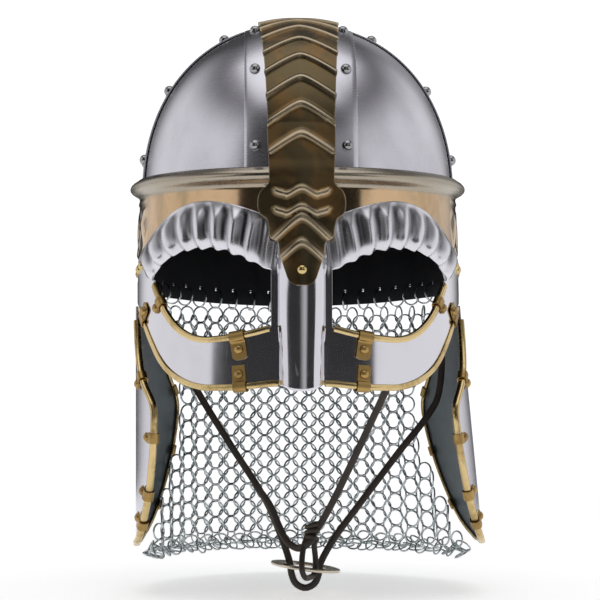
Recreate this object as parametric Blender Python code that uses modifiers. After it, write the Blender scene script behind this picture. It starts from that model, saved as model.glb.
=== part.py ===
# Spectacle helmet: a banded steel bowl with a brass crest and brow band, a fluted face guard,
# two hinged cheek plates, a curtain of mail and a leather chin strap. Metres, +Z up.
# The origin lies in the middle of the bowl's rim, the face looks along -Y, and +X is on the
# right of someone who faces it. A turn is an angle in degrees round the bowl: 0 in front,
# 90 at +X, 180 at the back.

import math

import bmesh
import bpy
from mathutils import Matrix, Vector

# Bowl
bowl_half_width = 0.0985
bowl_half_length = 0.1135
rim_flare = 0.0015
spring_height = 0.060
dome_rise = 0.1105
dome_power = 2.2
back_drop = 0.0055
front_edge = 0.036

# Sheet walls and the clearance between pieces
plate_wall = 0.0012
band_wall = 0.0010
brass_wall = 0.0009
guard_wall = 0.0012
gap = 0.0003
layer_gap = 0.0006

# Bands over the seams of the bowl, and their rivets
long_band_width = 0.068
cross_band_width = 0.036
plate_tuck = 0.008
long_rivet_inset = 0.0065
cross_rivet_inset = 0.0065
long_rivet_angles = (11.0, 40.0, 70.0, 110.0, 140.0, 169.0)
cross_rivet_angles = (11.0, 36.0, 64.0, 116.0, 144.0, 169.0)
rivet_radius = 0.0034
rivet_rise = 0.0029
brass_rivet_radius = 0.0028
brass_rivet_rise = 0.0022

# Brow band and its rolled bead
brow_top = 0.0710
brow_side_edge = 0.0150
bead_height = 0.0125
bead_reach = 0.0060

# Crest
crest_top_width = 0.0500
crest_neck_width = 0.0390
crest_wrap = 0.0030
nose_rivet_height = 0.0095

# Face guard
guard_rise = 0.052
guard_drop = 0.0605
guard_end_turn = 77.0
eye_start_turn = 10.0
eye_end_turn = 59.5
brow_roll = 0.0070
flute_depth = 0.0011
flute_count = 13
nasal_half_width = 0.0122
nasal_rise = 0.0075

# Channel trims and clips, with the turns where they start, end or sit
trim_wall = 0.0007
trim_depth = 0.0026
clip_wall = 0.0008
eye_clip_size = (0.0095, 0.0150)
jaw_clip_size = (0.0083, 0.0135)
temple_clip_size = (0.0060, 0.0090)
eye_trim_turns = (10.6, 57.5)
jaw_trim_turns = (7.6, 73.0)
eye_clip_turn = 21.4
jaw_clip_turn = 20.3
eye_end_clip_turn = 54.5
jaw_end_clip_turn = 66.0

# Cheek plates and their hinges
cheek_stand = 0.0055
cheek_stand_ahead = 0.0045
cheek_half_width = bowl_half_width + cheek_stand
cheek_half_length = bowl_half_length + cheek_stand_ahead
cheek_swing = 0.0050
cheek_length = 0.1517
cheek_wall = 0.0012
right_splay = 5.5
hinge_inset = 0.0022
hinge_drop = 0.0038
cheek_top = -hinge_drop - cheek_swing
knuckle_radius = 0.0019
knuckle_length = 0.0110
leaf_length = 0.0290
leaf_height = 0.0140
leaf_wall = 0.0010
leaf_clear = 0.0006
leaf_drop = 0.0015

# Mail curtain
mail_wall = 0.0024
mail_inset = 0.0020
mail_start_turn = 106.0
mail_end_turn = 254.0
mail_bottom = -0.1655
hem_radius = 0.0046
mail_right_flare = 0.0150
mail_left_flare = -0.0015

# Chin strap and its ring
strap_radius = 0.0021
ring_radius = 0.0223
ring_hole_radius = 0.0135
ring_wall = 0.0024
ring_centre = Vector((0.0047, -0.0200, -0.1743))
laid_half_width = 0.0985
laid_half_length = 0.1135
ring_tilt = 7.4

# Outer faces of the layers, as offsets from the skull plates' outer face
band_face = layer_gap + band_wall
brow_face = band_face + gap + brass_wall
bead_face = brow_face + bead_reach
guard_face = brow_face + gap + guard_wall
nasal_face = guard_face + nasal_rise
crest_dome_lift = band_face + layer_gap + brass_wall
crest_bead_lift = bead_face + gap + brass_wall
crest_tip_lift = nasal_face + gap + brass_wall
crest_back_lift = brow_face + gap + brass_wall

# Face guard by turn: jaw and sill as shares of guard_drop, lintel and brow of guard_rise
guard_table = (
    # turn, jaw, sill, lintel, brow
    (0.0, -1.020, -0.380, 0.170, 0.740),
    (4.0, -1.005, -0.380, 0.172, 0.745),
    (7.0, -0.960, -0.385, 0.176, 0.760),
    (10.0, -0.957, -0.392, 0.184, 0.795),
    (16.0, -0.976, -0.436, 0.280, 0.868),
    (22.0, -0.992, -0.472, 0.375, 0.936),
    (28.0, -0.997, -0.493, 0.433, 0.980),
    (34.0, -0.997, -0.500, 0.444, 1.000),
    (40.0, -0.965, -0.464, 0.427, 0.982),
    (46.0, -0.902, -0.373, 0.372, 0.930),
    (52.0, -0.802, -0.220, 0.278, 0.838),
    (57.0, -0.677, -0.025, 0.166, 0.742),
    (59.5, -0.596, 0.070, 0.105, 0.690),
    (64.0, -0.455, 0.035, 0.170, 0.600),
    (70.0, -0.258, -0.030, 0.200, 0.500),
    (77.0, -0.120, -0.010, 0.180, 0.385),
)

# Roll of the brows by turn, as a share of brow_roll
roll_table = (
    # turn, roll
    (10.0, 0.10),
    (14.0, 0.35),
    (20.0, 0.80),
    (28.0, 1.00),
    (48.0, 1.00),
    (55.0, 0.80),
    (59.5, 0.50),
    (66.0, 0.00),
)

# Lower edge of the skull plates in front, by turn, as a share of front_edge
plate_edge_table = (
    # turn, edge
    (0.0, 1.00),
    (44.0, 1.00),
    (56.0, 0.85),
    (66.0, 0.25),
    (74.0, 0.00),
    (90.0, 0.00),
)

# Drop of the rim behind, by turn, as a share of back_drop
rim_drop_table = (
    # turn, drop
    (90.0, 0.00),
    (120.0, 0.20),
    (150.0, 0.70),
    (180.0, 1.00),
)

# Crest down the front: height as a share of brow_top, half-width as a share of half of
# crest_neck_width, lift between the dome's (0) and the bead's (1), and the tip's own share
crest_front_table = (
    # height, half_width, lift, tip
    (0.004, 0.16, 1.0, 1.00),
    (0.040, 0.36, 1.0, 1.00),
    (0.100, 0.48, 1.0, 1.00),
    (0.165, 0.56, 1.0, 0.95),
    (0.265, 0.68, 1.0, 0.75),
    (0.365, 0.73, 1.0, 0.45),
    (0.400, 0.95, 1.0, 0.35),
    (0.485, 1.00, 1.0, 0.15),
    (0.560, 1.08, 1.0, 0.05),
    (0.600, 1.27, 1.0, 0.00),
    (0.695, 1.34, 1.0, 0.00),
    (0.790, 1.25, 1.0, 0.00),
    (0.845, 1.02, 1.0, 0.00),
    (0.940, 0.99, 1.0, 0.00),
    (1.070, 1.01, 0.6, 0.00),
    (1.250, 1.04, 0.2, 0.00),
)

# Crest down the back: height as a share of brow_top, lift between the band's (0) and the bead's (1)
crest_back_table = (
    # height, lift
    (1.250, 0.2),
    (1.070, 0.6),
    (0.950, 1.0),
    (0.800, 1.0),
    (0.620, 0.4),
    (0.423, 0.0),
)

# Cheek plate outline from its top down: drop as a share of cheek_length, front and rear turns
cheek_table = (
    # drop, front, rear
    (0.00, 82.7, 104.8),
    (0.06, 82.0, 109.0),
    (0.18, 78.0, 117.0),
    (0.30, 71.0, 124.0),
    (0.405, 61.0, 128.5),
    (0.51, 60.0, 128.0),
    (0.65, 61.5, 125.0),
    (0.795, 65.0, 119.5),
    (0.91, 71.0, 112.5),
    (0.97, 77.0, 105.0),
    (1.00, 84.0, 97.0),
)

# Routes of the strap, chosen by hand along its middle
long_strap_route = (
    (-0.0978, 0.0000, 0.0130),
    (-0.0932, -0.0005, -0.0030),
    (-0.0835, -0.0035, -0.0270),
    (-0.0640, -0.0080, -0.0634),
    (-0.0425, -0.0130, -0.0980),
    (-0.0205, -0.0180, -0.1325),
    (-0.0105, -0.0200, -0.1560),
    (-0.0052, -0.0205, -0.1720),
    (-0.0042, -0.0205, -0.1790),
    (-0.0015, -0.0205, -0.1850),
    (0.0045, -0.0205, -0.1878),
    (0.0104, -0.0205, -0.1850),
    (0.0130, -0.0205, -0.1790),
    (0.0142, -0.0205, -0.1720),
    (0.0230, -0.0190, -0.1565),
    (0.0395, -0.0160, -0.1345),
    (0.0640, -0.0100, -0.1030),
    (0.0880, -0.0050, -0.0720),
    (0.0925, -0.0020, -0.0540),
    (0.0930, 0.0000, -0.0300),
    (0.0932, 0.0000, -0.0030),
    (0.0978, 0.0000, 0.0130),
)
short_strap_route = (
    (0.0640, -0.0893, -0.0330),
    (0.0600, -0.0893, -0.0445),
    (0.0515, -0.0800, -0.0630),
    (0.0365, -0.0580, -0.0980),
    (0.0215, -0.0430, -0.1310),
    (0.0135, -0.0385, -0.1460),
    (0.0085, -0.0370, -0.1530),
)
ring_loop_route = (
    (0.0070, -0.0370, -0.1560),
    (0.0020, -0.0430, -0.1650),
    (0.0022, -0.0450, -0.1735),
    (0.0042, -0.0425, -0.1782),
    (0.0068, -0.0370, -0.1786),
    (0.0094, -0.0305, -0.1770),
    (0.0100, -0.0292, -0.1710),
    (0.0092, -0.0330, -0.1620),
    (0.0080, -0.0370, -0.1560),
)
tail_route = (
    (0.0060, -0.0375, -0.1570),
    (-0.0005, -0.0360, -0.1620),
    (-0.0070, -0.0320, -0.1580),
    (-0.0118, -0.0285, -0.1490),
    (-0.0180, -0.0255, -0.1350),
    (-0.0268, -0.0235, -0.1225),
)
knot_centre = (0.0082, -0.0370, -0.1535)
knot_radii = (0.0048, 0.0045, 0.0078)


def smooth_at(table, column, at):
    # Reads a column of a table at any place, on a smooth curve through its rows.
    places = [row[0] for row in table]
    values = [row[column] for row in table]
    if at <= places[0]:
        return values[0]
    if at >= places[-1]:
        return values[-1]
    last = len(places) - 1
    index = max(i for i in range(last) if places[i] <= at)
    before, after = max(index - 1, 0), min(index + 2, last)
    span = places[index + 1] - places[index]
    share = (at - places[index]) / span
    slope_in = (values[index + 1] - values[before]) / (places[index + 1] - places[before]) * span
    slope_out = (values[after] - values[index]) / (places[after] - places[index]) * span
    low, high = values[index], values[index + 1]
    return (
        low * (1 + 2 * share) * (1 - share) ** 2
        + slope_in * share * (1 - share) ** 2
        + high * share**2 * (3 - 2 * share)
        + slope_out * share**2 * (share - 1)
    )


def bowl_axes(height, offset):
    # Half-width and half-length of the bowl at a height, moved out by the offset.
    if height <= spring_height:
        flare = rim_flare * min(1.0, 1.0 - height / spring_height)
        return bowl_half_width + flare + offset, bowl_half_length + flare + offset
    share = min(1.0, (height - spring_height) / (dome_rise + offset))
    shrink = (1.0 - share**dome_power) ** (1.0 / dome_power)
    return (bowl_half_width + offset) * shrink, (bowl_half_length + offset) * shrink


def on_bowl(turn, height, offset):
    across, along = bowl_axes(height, offset)
    angle = math.radians(turn)
    return Vector((across * math.sin(angle), -along * math.cos(angle), height))


def out_of_bowl(turn):
    # Level direction straight out of the bowl's wall.
    angle = math.radians(turn)
    out = Vector((math.sin(angle) / bowl_half_width, -math.cos(angle) / bowl_half_length, 0.0))
    return out.normalized()


def on_dome(x, y, offset):
    across, along = bowl_half_width + offset, bowl_half_length + offset
    reach = min(1.0, math.hypot(x / across, y / along))
    rise = (dome_rise + offset) * (1.0 - reach**dome_power) ** (1.0 / dome_power)
    return Vector((x, y, spring_height + rise))


def on_arc(angle, side, offset, lengthwise=True):
    # A point on the dome, the angle in degrees from one end over the top to the other, and side
    # its distance from the arc's middle. The long arc starts in front, the cross arc at -X.
    turn = math.radians(angle)
    reach = math.copysign(abs(math.cos(turn)) ** (2.0 / dome_power), math.cos(turn))
    if lengthwise:
        narrow = math.sqrt(1.0 - (side / (bowl_half_width + offset)) ** 2)
        return on_dome(side, -(bowl_half_length + offset) * reach * narrow, offset)
    narrow = math.sqrt(1.0 - (side / (bowl_half_length + offset)) ** 2)
    return on_dome(-(bowl_half_width + offset) * reach * narrow, side, offset)


def on_wall(height, side, offset, back=False):
    # A point on the upright wall in front or behind, at a distance side from the middle.
    across, along = bowl_axes(min(height, spring_height), offset)
    depth = along * math.sqrt(1.0 - (side / across) ** 2)
    return Vector((side, depth if back else -depth, height))


def beside_bowl(height, side, lift, back=False):
    # A point held off the bowl in front or behind, also where the dome has begun.
    across, along = bowl_axes(height, 0.0)
    depth = (along + lift) * math.sqrt(1.0 - (side / (across + lift)) ** 2)
    return Vector((side, depth if back else -depth, height))


def rim_height(turn):
    turn = abs((turn + 180.0) % 360.0 - 180.0)
    if turn < 90.0:
        return front_edge * smooth_at(plate_edge_table, 1, turn)
    return -back_drop * smooth_at(rim_drop_table, 1, turn)


def finish(name, colour, roughness, metallic):
    material = bpy.data.materials.new(name)
    material.use_nodes = True
    surface = material.node_tree.nodes["Principled BSDF"]
    surface.inputs["Base Color"].default_value = (*colour, 1.0)
    surface.inputs["Roughness"].default_value = roughness
    surface.inputs["Metallic"].default_value = metallic
    return material


for old in list(bpy.data.objects):
    bpy.data.objects.remove(old, do_unlink=True)

helmet = bpy.data.collections.new("spectacle_helmet")
helpers = bpy.data.collections.new("helpers")
bpy.context.scene.collection.children.link(helmet)
bpy.context.scene.collection.children.link(helpers)

steel = finish("brushed_steel", (0.60, 0.59, 0.63), 0.30, 1.0)
polished = finish("polished_steel", (0.66, 0.66, 0.70), 0.18, 1.0)
rivet_steel = finish("rivet_steel", (0.36, 0.37, 0.38), 0.30, 1.0)
antique = finish("antique_brass", (0.34, 0.26, 0.13), 0.38, 1.0)
brass = finish("brass", (0.62, 0.46, 0.20), 0.28, 1.0)
zinc = finish("zinc_mail", (0.50, 0.53, 0.54), 0.35, 1.0)
leather = finish("brown_leather", (0.045, 0.030, 0.022), 0.60, 0.0)


def place_mesh(name, bm, material, smooth=True):
    mesh = bpy.data.meshes.new(name)
    bm.to_mesh(mesh)
    bm.free()
    item = bpy.data.objects.new(name, mesh)
    helmet.objects.link(item)
    mesh.materials.append(material)
    if smooth:
        mesh.shade_smooth()
        mesh.set_sharp_from_angle(angle=math.radians(35.0))
    return item


def sheet(name, columns, rows, place, wall, material, left_out=None):
    # A sheet of an even wall: a grid laid on place(column, row), whose face is the outer one.
    bm = bmesh.new()
    bmesh.ops.create_grid(bm, x_segments=columns, y_segments=rows, size=0.5)
    for vert in bm.verts:
        vert.co = (round((vert.co.x + 0.5) * columns), round((vert.co.y + 0.5) * rows), 0.0)
    if left_out:
        middles = [(face, face.calc_center_median()) for face in bm.faces]
        open_faces = [face for face, at in middles if left_out(int(at.x), int(at.y))]
        bmesh.ops.delete(bm, geom=open_faces, context="FACES")
    for vert in bm.verts:
        vert.co = place(round(vert.co.x), round(vert.co.y))
    item = place_mesh(name, bm, material)
    solid = item.modifiers.new("wall", "SOLIDIFY")
    solid.thickness = wall
    solid.offset = -1.0
    return item


def loft(name, sections, material, closed=False):
    # A solid through like rings of points, capped at its ends unless it closes on itself.
    bm = bmesh.new()
    rings = []
    for section in sections:
        verts = [bm.verts.new(point) for point in section]
        ends = list(zip(verts, verts[1:] + verts[:1]))
        rings.append([bm.edges.new(pair) for pair in ends])
    if closed:
        rings.append(rings[0])
    for first, second in zip(rings, rings[1:]):
        bmesh.ops.bridge_loops(bm, edges=first + second)
    if not closed:
        bmesh.ops.holes_fill(bm, edges=rings[0] + rings[-1], sides=0)
    bmesh.ops.recalc_face_normals(bm, faces=bm.faces)
    return place_mesh(name, bm, material)


def join(base, others):
    # Makes the others one solid with the base.
    for other in others:
        helmet.objects.unlink(other)
        helpers.objects.link(other)
        other.hide_render = True
        other.display_type = "WIRE"
        union = base.modifiers.new("join " + other.name, "BOOLEAN")
        union.operation = "UNION"
        union.object = other
    return base


def rivet(name, foot, out, radius, rise, material):
    # A domed head whose flat foot lies a gap off the surface at foot.
    bm = bmesh.new()
    bmesh.ops.create_uvsphere(bm, u_segments=8, v_segments=4, radius=1.0)
    whole = bm.verts[:] + bm.edges[:] + bm.faces[:]
    below = (0, 0, -1)
    cut = bmesh.ops.bisect_plane(bm, geom=whole, plane_co=(0, 0, 0), plane_no=below, clear_outer=True)
    edges = [part for part in cut["geom_cut"] if isinstance(part, bmesh.types.BMEdge)]
    bmesh.ops.holes_fill(bm, edges=edges, sides=0)
    bmesh.ops.recalc_face_normals(bm, faces=bm.faces)
    bmesh.ops.scale(bm, vec=(radius, radius, rise), verts=bm.verts)
    item = place_mesh(name, bm, material)
    turn = out.to_track_quat("Z", "Y").to_matrix().to_4x4()
    item.matrix_world = Matrix.Translation(foot + out * gap) @ turn
    return item


def fitted(point):
    # The straps were laid out in one bowl and move with its sides.
    across, along = bowl_half_width / laid_half_width, bowl_half_length / laid_half_length
    return Vector((point[0] * across, point[1] * along, point[2]))


def tube(name, route, radius, steps, material):
    # A round strap along a smooth curve through the route, as a mesh with welded caps.
    points = [fitted(point) for point in route]
    closed_in = [points[0] * 2 - points[1]] + points + [points[-1] * 2 - points[-2]]
    curve = bpy.data.curves.new(name, "CURVE")
    curve.dimensions = "3D"
    curve.bevel_depth = radius
    curve.bevel_resolution = 2
    curve.use_fill_caps = True
    path = []
    for before, start, end, after in zip(closed_in, closed_in[1:], closed_in[2:], closed_in[3:]):
        for step in range(steps):
            share = step / steps
            bend_in = (end - before) * 0.5
            bend_out = (after - start) * 0.5
            path.append(
                start * (1 + 2 * share) * (1 - share) ** 2
                + bend_in * share * (1 - share) ** 2
                + end * share**2 * (3 - 2 * share)
                + bend_out * share**2 * (share - 1)
            )
    path.append(points[-1])
    spline = curve.splines.new("POLY")
    spline.points.add(len(path) - 1)
    for knot, point in zip(spline.points, path):
        knot.co = (*point, 1.0)
    line = bpy.data.objects.new(name + "_line", curve)
    helmet.objects.link(line)
    ready = line.evaluated_get(bpy.context.evaluated_depsgraph_get())
    mesh = bpy.data.meshes.new_from_object(ready)
    bpy.data.objects.remove(line, do_unlink=True)
    bm = bmesh.new()
    bm.from_mesh(mesh)
    bmesh.ops.remove_doubles(bm, verts=bm.verts, dist=0.00001)
    bmesh.ops.recalc_face_normals(bm, faces=bm.faces)
    return place_mesh(name, bm, material)


def skull_plate(name, front, right):
    # One quarter of the bowl, which runs under the edges of the bands round it.
    side_start = long_band_width / 2 - plate_tuck
    end_start = cross_band_width / 2 - plate_tuck
    least = math.hypot(side_start / bowl_half_width, end_start / bowl_half_length) * 1.05
    last_angle = math.acos(least ** (dome_power / 2.0))
    columns, wall_rows, dome_rows = 7, 2, 7

    def place(column, row):
        share = column / columns
        if right != front:
            share = 1.0 - share
        lift = max(0.0, (row - wall_rows) / dome_rows) * last_angle
        shrink = math.cos(lift) ** (2.0 / dome_power)
        first = math.degrees(math.asin(side_start / (bowl_half_width * shrink)))
        last = math.degrees(math.acos(end_start / (bowl_half_length * shrink)))
        turn = first + (last - first) * share
        if not front:
            turn = 180.0 - turn
        low = rim_height(turn)
        height = spring_height + dome_rise * math.sin(lift) ** (2.0 / dome_power)
        if row < wall_rows:
            height = low + (spring_height - low) * row / wall_rows
        return on_bowl(turn if right else -turn, height, 0.0)

    return sheet(name, columns, wall_rows + dome_rows, place, plate_wall, steel)


def long_band(name):
    # The band from the brow over the crown to the back of the rim.
    columns, front_rows, arc_rows, back_rows = 5, 1, 24, 1
    rows = front_rows + arc_rows + back_rows
    half = long_band_width / 2

    def place(column, row):
        side = half * (2.0 * column / columns - 1.0)
        if row < front_rows:
            return on_wall(front_edge, side, band_face)
        if row <= front_rows + arc_rows:
            return on_arc(180.0 * (row - front_rows) / arc_rows, side, band_face)
        turn = 180.0 - math.degrees(math.asin(side / bowl_half_width))
        return on_wall(rim_height(turn), side, band_face, back=True)

    return sheet(name, columns, rows, place, band_wall, steel)


def cross_band(name, right):
    # The band from the rim above an ear up to the long band.
    columns, wall_rows, arc_rows = 3, 1, 9
    half = cross_band_width / 2
    meet = long_band_width / 2 + gap
    across = bowl_half_width + band_face
    last = math.degrees(math.acos((meet / across) ** (dome_power / 2.0)))

    def place(column, row):
        side = half * (1.0 - 2.0 * column / columns)
        if right:
            side = -side
        if row < wall_rows:
            width, length = bowl_axes(0.0, band_face)
            x = width * math.sqrt(1.0 - (side / length) ** 2)
            point = Vector((-x, side, 0.0))
        else:
            point = on_arc(last * (row - wall_rows) / arc_rows, side, band_face, lengthwise=False)
            if row == wall_rows + arc_rows:
                point = on_dome(-meet, side, band_face)
        if right:
            point.x = -point.x
        return point

    return sheet(name, columns, wall_rows + arc_rows, place, band_wall, steel)


def brow_edge(turn):
    # Lower edge of the brow band: higher in front, behind the face guard.
    turn = abs((turn + 180.0) % 360.0 - 180.0)
    share = min(1.0, smooth_at(plate_edge_table, 1, min(turn, 90.0)))
    return brow_side_edge + (front_edge - brow_side_edge) * share


def brow_band(name):
    # A ring of brass with a rolled bead along its top.
    inner = brow_face - brass_wall
    bead_low = brow_top - bead_height

    def section(turn):
        low = brow_edge(turn)
        outline = (
            (inner, low),
            (brow_face, low),
            (brow_face, bead_low),
            (brow_face + bead_reach * 0.60, bead_low + bead_height * 0.18),
            (bead_face, bead_low + bead_height * 0.50),
            (brow_face + bead_reach * 0.75, bead_low + bead_height * 0.82),
            (brow_face + bead_reach * 0.25, brow_top),
            (inner, brow_top),
        )
        points = []
        for offset, height in outline:
            across, along = bowl_axes(min(height, spring_height), offset)
            angle = math.radians(turn)
            points.append(Vector((across * math.sin(angle), -along * math.cos(angle), height)))
        return points

    count = 54
    return loft(name, [section(360.0 * i / count) for i in range(count)], antique, closed=True)


def crest(name):
    # The strip from the nose over the crown to the back, narrow at the nose, with two lobes.
    columns, arc_rows = 4, 18
    first_angle, last_angle = 18.0, 162.0
    neck = crest_neck_width / 2
    front = len(crest_front_table)
    rows = front + arc_rows + len(crest_back_table)

    def place(column, row):
        across = 2.0 * column / columns - 1.0
        if row < front:
            height_share, half_share, lift_share, tip = crest_front_table[row]
            height = brow_top * height_share
            half = neck * half_share
            lift = crest_dome_lift + (crest_bead_lift - crest_dome_lift) * lift_share
            lift += (crest_tip_lift - crest_bead_lift) * tip
            side = half * across
            lift -= crest_wrap * tip * (side / nasal_half_width) ** 2
            return beside_bowl(height, side, lift)
        if row <= front + arc_rows:
            share = (row - front) / arc_rows
            angle = first_angle + (last_angle - first_angle) * share
            wide = math.sin(math.radians(angle))
            half = neck + (crest_top_width / 2 - neck) * wide**2
            return on_arc(angle, half * across, crest_dome_lift)
        height_share, lift_share = crest_back_table[row - front - arc_rows - 1]
        height = brow_top * height_share
        lift = crest_back_lift + (crest_bead_lift - crest_back_lift) * lift_share
        return beside_bowl(height, neck * across, lift, back=True)

    return sheet(name, columns, rows, place, brass_wall, antique)


def guard_line(turn, column):
    # Height of one of the guard's edges at a turn: 1 jaw, 2 sill, 3 lintel, 4 brow.
    share = smooth_at(guard_table, column, abs(turn))
    scale = guard_rise if column > 2 or share > 0.0 else guard_drop
    return share * scale


def spectacle_guard(name):
    # One sheet with two eye openings, fluted brows rolled outward and a half-round nasal.
    nose_turns = (0.0, 3.4, 6.0, 7.2, eye_start_turn)
    per_eye = 2 * flute_count
    temple_columns = 6
    turns = list(nose_turns)
    for step in range(1, per_eye + 1):
        turns.append(eye_start_turn + (eye_end_turn - eye_start_turn) * step / per_eye)
    for step in range(1, temple_columns + 1):
        turns.append(eye_end_turn + (guard_end_turn - eye_end_turn) * step / temple_columns)
    half_columns = len(turns) - 1
    cheek_rows, eye_rows, brow_rows = 2, 2, 4
    rows = cheek_rows + eye_rows + brow_rows
    first_eye, last_eye = len(nose_turns) - 1, len(nose_turns) - 1 + per_eye

    def left_out(column, row):
        at = column - half_columns if column >= half_columns else half_columns - 1 - column
        return first_eye <= at < last_eye and cheek_rows <= row < cheek_rows + eye_rows

    def place(column, row):
        index = abs(column - half_columns)
        sign = 1.0 if column >= half_columns else -1.0
        turn = turns[index]
        lean = 3.0 + 6.0 * max(0.0, (turn - 30.0) / 30.0) if turn >= eye_start_turn else turn * 0.3
        lean *= max(0.0, min(1.0, (guard_end_turn - turn) / (guard_end_turn - eye_end_turn)))
        offset = guard_face
        if row <= cheek_rows:
            low, high = guard_line(turn, 1), guard_line(turn, 2)
            height = low + (high - low) * row / cheek_rows
        elif row < cheek_rows + eye_rows:
            low, high = guard_line(turn, 2), guard_line(turn, 3)
            height = low + (high - low) * (row - cheek_rows) / eye_rows
        else:
            share = (row - cheek_rows - eye_rows) / brow_rows
            top_turn = turn + lean
            low, high = guard_line(turn, 3), guard_line(top_turn, 4)
            height = low + (high - low) * share
            roll = smooth_at(roll_table, 1, turn) if turn > eye_start_turn - 1.0 else 0.0
            swell = math.sin(math.pi * min(1.0, share + 0.12)) ** 0.8
            offset += brow_roll * roll * swell
            if first_eye < index < last_eye:
                ridge = 1.0 if (index - first_eye) % 2 else -1.0
                offset += flute_depth * ridge * (1.0 - share**3) * min(1.0, roll + 0.2)
            turn = turn + lean * share
        point = on_bowl(sign * turn, height, offset)
        if abs(point.x) < nasal_half_width:
            fade = max(0.0, min(1.0, 1.6 - height / (guard_rise * 0.45)))
            bulge = math.sqrt(1.0 - (point.x / nasal_half_width) ** 2) * nasal_rise * fade
            point.y -= bulge
        return point

    return sheet(name, 2 * half_columns, rows, place, guard_wall, polished, left_out)


def channel(name, path, outs, intos, wall, material):
    # A folded strip that holds the edge of a sheet: the path runs along the edge's middle.
    half = wall / 2 + gap
    outer = half + trim_wall
    outline = (
        (outer, trim_depth),
        (outer, -gap - trim_wall),
        (-outer, -gap - trim_wall),
        (-outer, trim_depth),
        (-half, trim_depth),
        (-half, -gap),
        (half, -gap),
        (half, trim_depth),
    )
    sections = [
        [point + out * across + into * deep for across, deep in outline]
        for point, out, into in zip(path, outs, intos)
    ]
    return loft(name, sections, material)


def guard_trim(name, column, first, last, count, right):
    # The channel along the sill (2) or the jaw (1) of one side of the guard.
    sign = 1.0 if right else -1.0
    turns = [first + (last - first) * i / count for i in range(count + 1)]
    middle = guard_face - guard_wall / 2

    def edge(turn):
        return on_bowl(sign * turn, guard_line(turn, column), middle)

    path, outs, intos = [], [], []
    for turn in turns:
        path.append(edge(turn))
        out = out_of_bowl(sign * turn)
        ahead = (edge(turn + 0.3) - edge(turn - 0.3)).normalized()
        into = out.cross(ahead).normalized()
        if (into.z > 0) == (column == 2):
            into = -into
        outs.append(out)
        intos.append(into)
    return channel(name, path, outs, intos, guard_wall, brass)


def clip(name, edge, out, into, size, wall):
    # A strip folded over a channel and laid on the sheet, held by a rivet.
    width, length = size
    along = out.cross(into).normalized()
    trim_face = wall / 2 + gap + trim_wall + layer_gap
    back = -(gap + trim_wall + layer_gap)
    profile = (
        (-trim_face, trim_depth),
        (-trim_face, back),
        (trim_face, back),
        (trim_face, trim_depth + gap),
        (wall / 2 + gap, trim_depth + 2 * gap + clip_wall),
        (wall / 2 + gap, length),
    )
    places = [edge + out * across + into * deep for across, deep in profile]

    def place(column, row):
        return places[row] + along * width * (0.5 - column)

    strip = sheet(name, 1, len(profile) - 1, place, clip_wall, brass)
    strip.modifiers["wall"].offset = 1.0
    strip.modifiers["wall"].use_even_offset = True
    foot = edge + out * (wall / 2 + gap + clip_wall * 0.5) + into * (trim_depth + length) / 2
    head = rivet(name + "_head", foot, out, brass_rivet_radius, brass_rivet_rise, brass)
    return join(strip, [head])


def guard_clip(name, column, turn, size, right):
    sign = 1.0 if right else -1.0
    middle = guard_face - guard_wall / 2
    here = on_bowl(sign * turn, guard_line(turn, column), middle)
    ahead = on_bowl(sign * (turn + 0.5), guard_line(turn + 0.5, column), middle)
    out = out_of_bowl(sign * turn)
    into = out.cross((ahead - here).normalized()).normalized()
    if (into.z > 0) == (column == 2):
        into = -into
    return clip(name, here, out, into, size, guard_wall)


def cheek_point(turn, drop, offset):
    angle = math.radians(turn)
    across, along = cheek_half_width + offset, cheek_half_length + offset
    return Vector((across * math.sin(angle), -along * math.cos(angle), cheek_top - cheek_length * drop))


def hinge_axis(right):
    width = bowl_axes(0.0, 0.0)[0] - hinge_inset
    return Vector((width if right else -width, 0.0, -hinge_drop))


def place_cheek(item, right):
    # The left plate hangs straight, and the right one stands out a little from its hinge.
    axis = hinge_axis(True)
    if right:
        turn = Matrix.Rotation(math.radians(-right_splay), 4, "Y")
        item.data.transform(turn @ Matrix.Translation(-axis))
        item.location = axis
        return
    item.data.transform(Matrix.Scale(-1.0, 4, (1, 0, 0)) @ Matrix.Translation(-axis))
    item.data.flip_normals()
    item.location = hinge_axis(False)


def cheek_plate(name, right):
    columns, rows = 8, len(cheek_table) - 1

    def place(column, row):
        drop, front, rear = cheek_table[rows - row]
        return cheek_point(front + (rear - front) * column / columns, drop, 0.0)

    item = sheet(name, columns, rows, place, cheek_wall, steel)
    place_cheek(item, right)
    return item


def cheek_trim(name, right):
    # The channel down the front edge, round the tip and up the rear edge.
    ends = [(row[1], row[0]) for row in cheek_table[1:]]
    ends.append(((cheek_table[-1][1] + cheek_table[-1][2]) / 2, cheek_table[-1][0]))
    ends += [(row[2], row[0]) for row in reversed(cheek_table[1:])]
    middle = [cheek_point(turn, drop, -cheek_wall / 2) for turn, drop in ends]
    path, outs, intos = [], [], []
    last = len(ends) - 1
    for index, (turn, drop) in enumerate(ends):
        angle = math.radians(turn)
        out = Vector((math.sin(angle) / cheek_half_width, -math.cos(angle) / cheek_half_length, 0.0))
        out.normalize()
        ahead = (middle[min(index + 1, last)] - middle[max(index - 1, 0)]).normalized()
        path.append(middle[index])
        outs.append(out)
        intos.append(out.cross(ahead).normalized())
    item = channel(name, path, outs, intos, cheek_wall + 2 * gap, brass)
    place_cheek(item, right)
    return item


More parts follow.
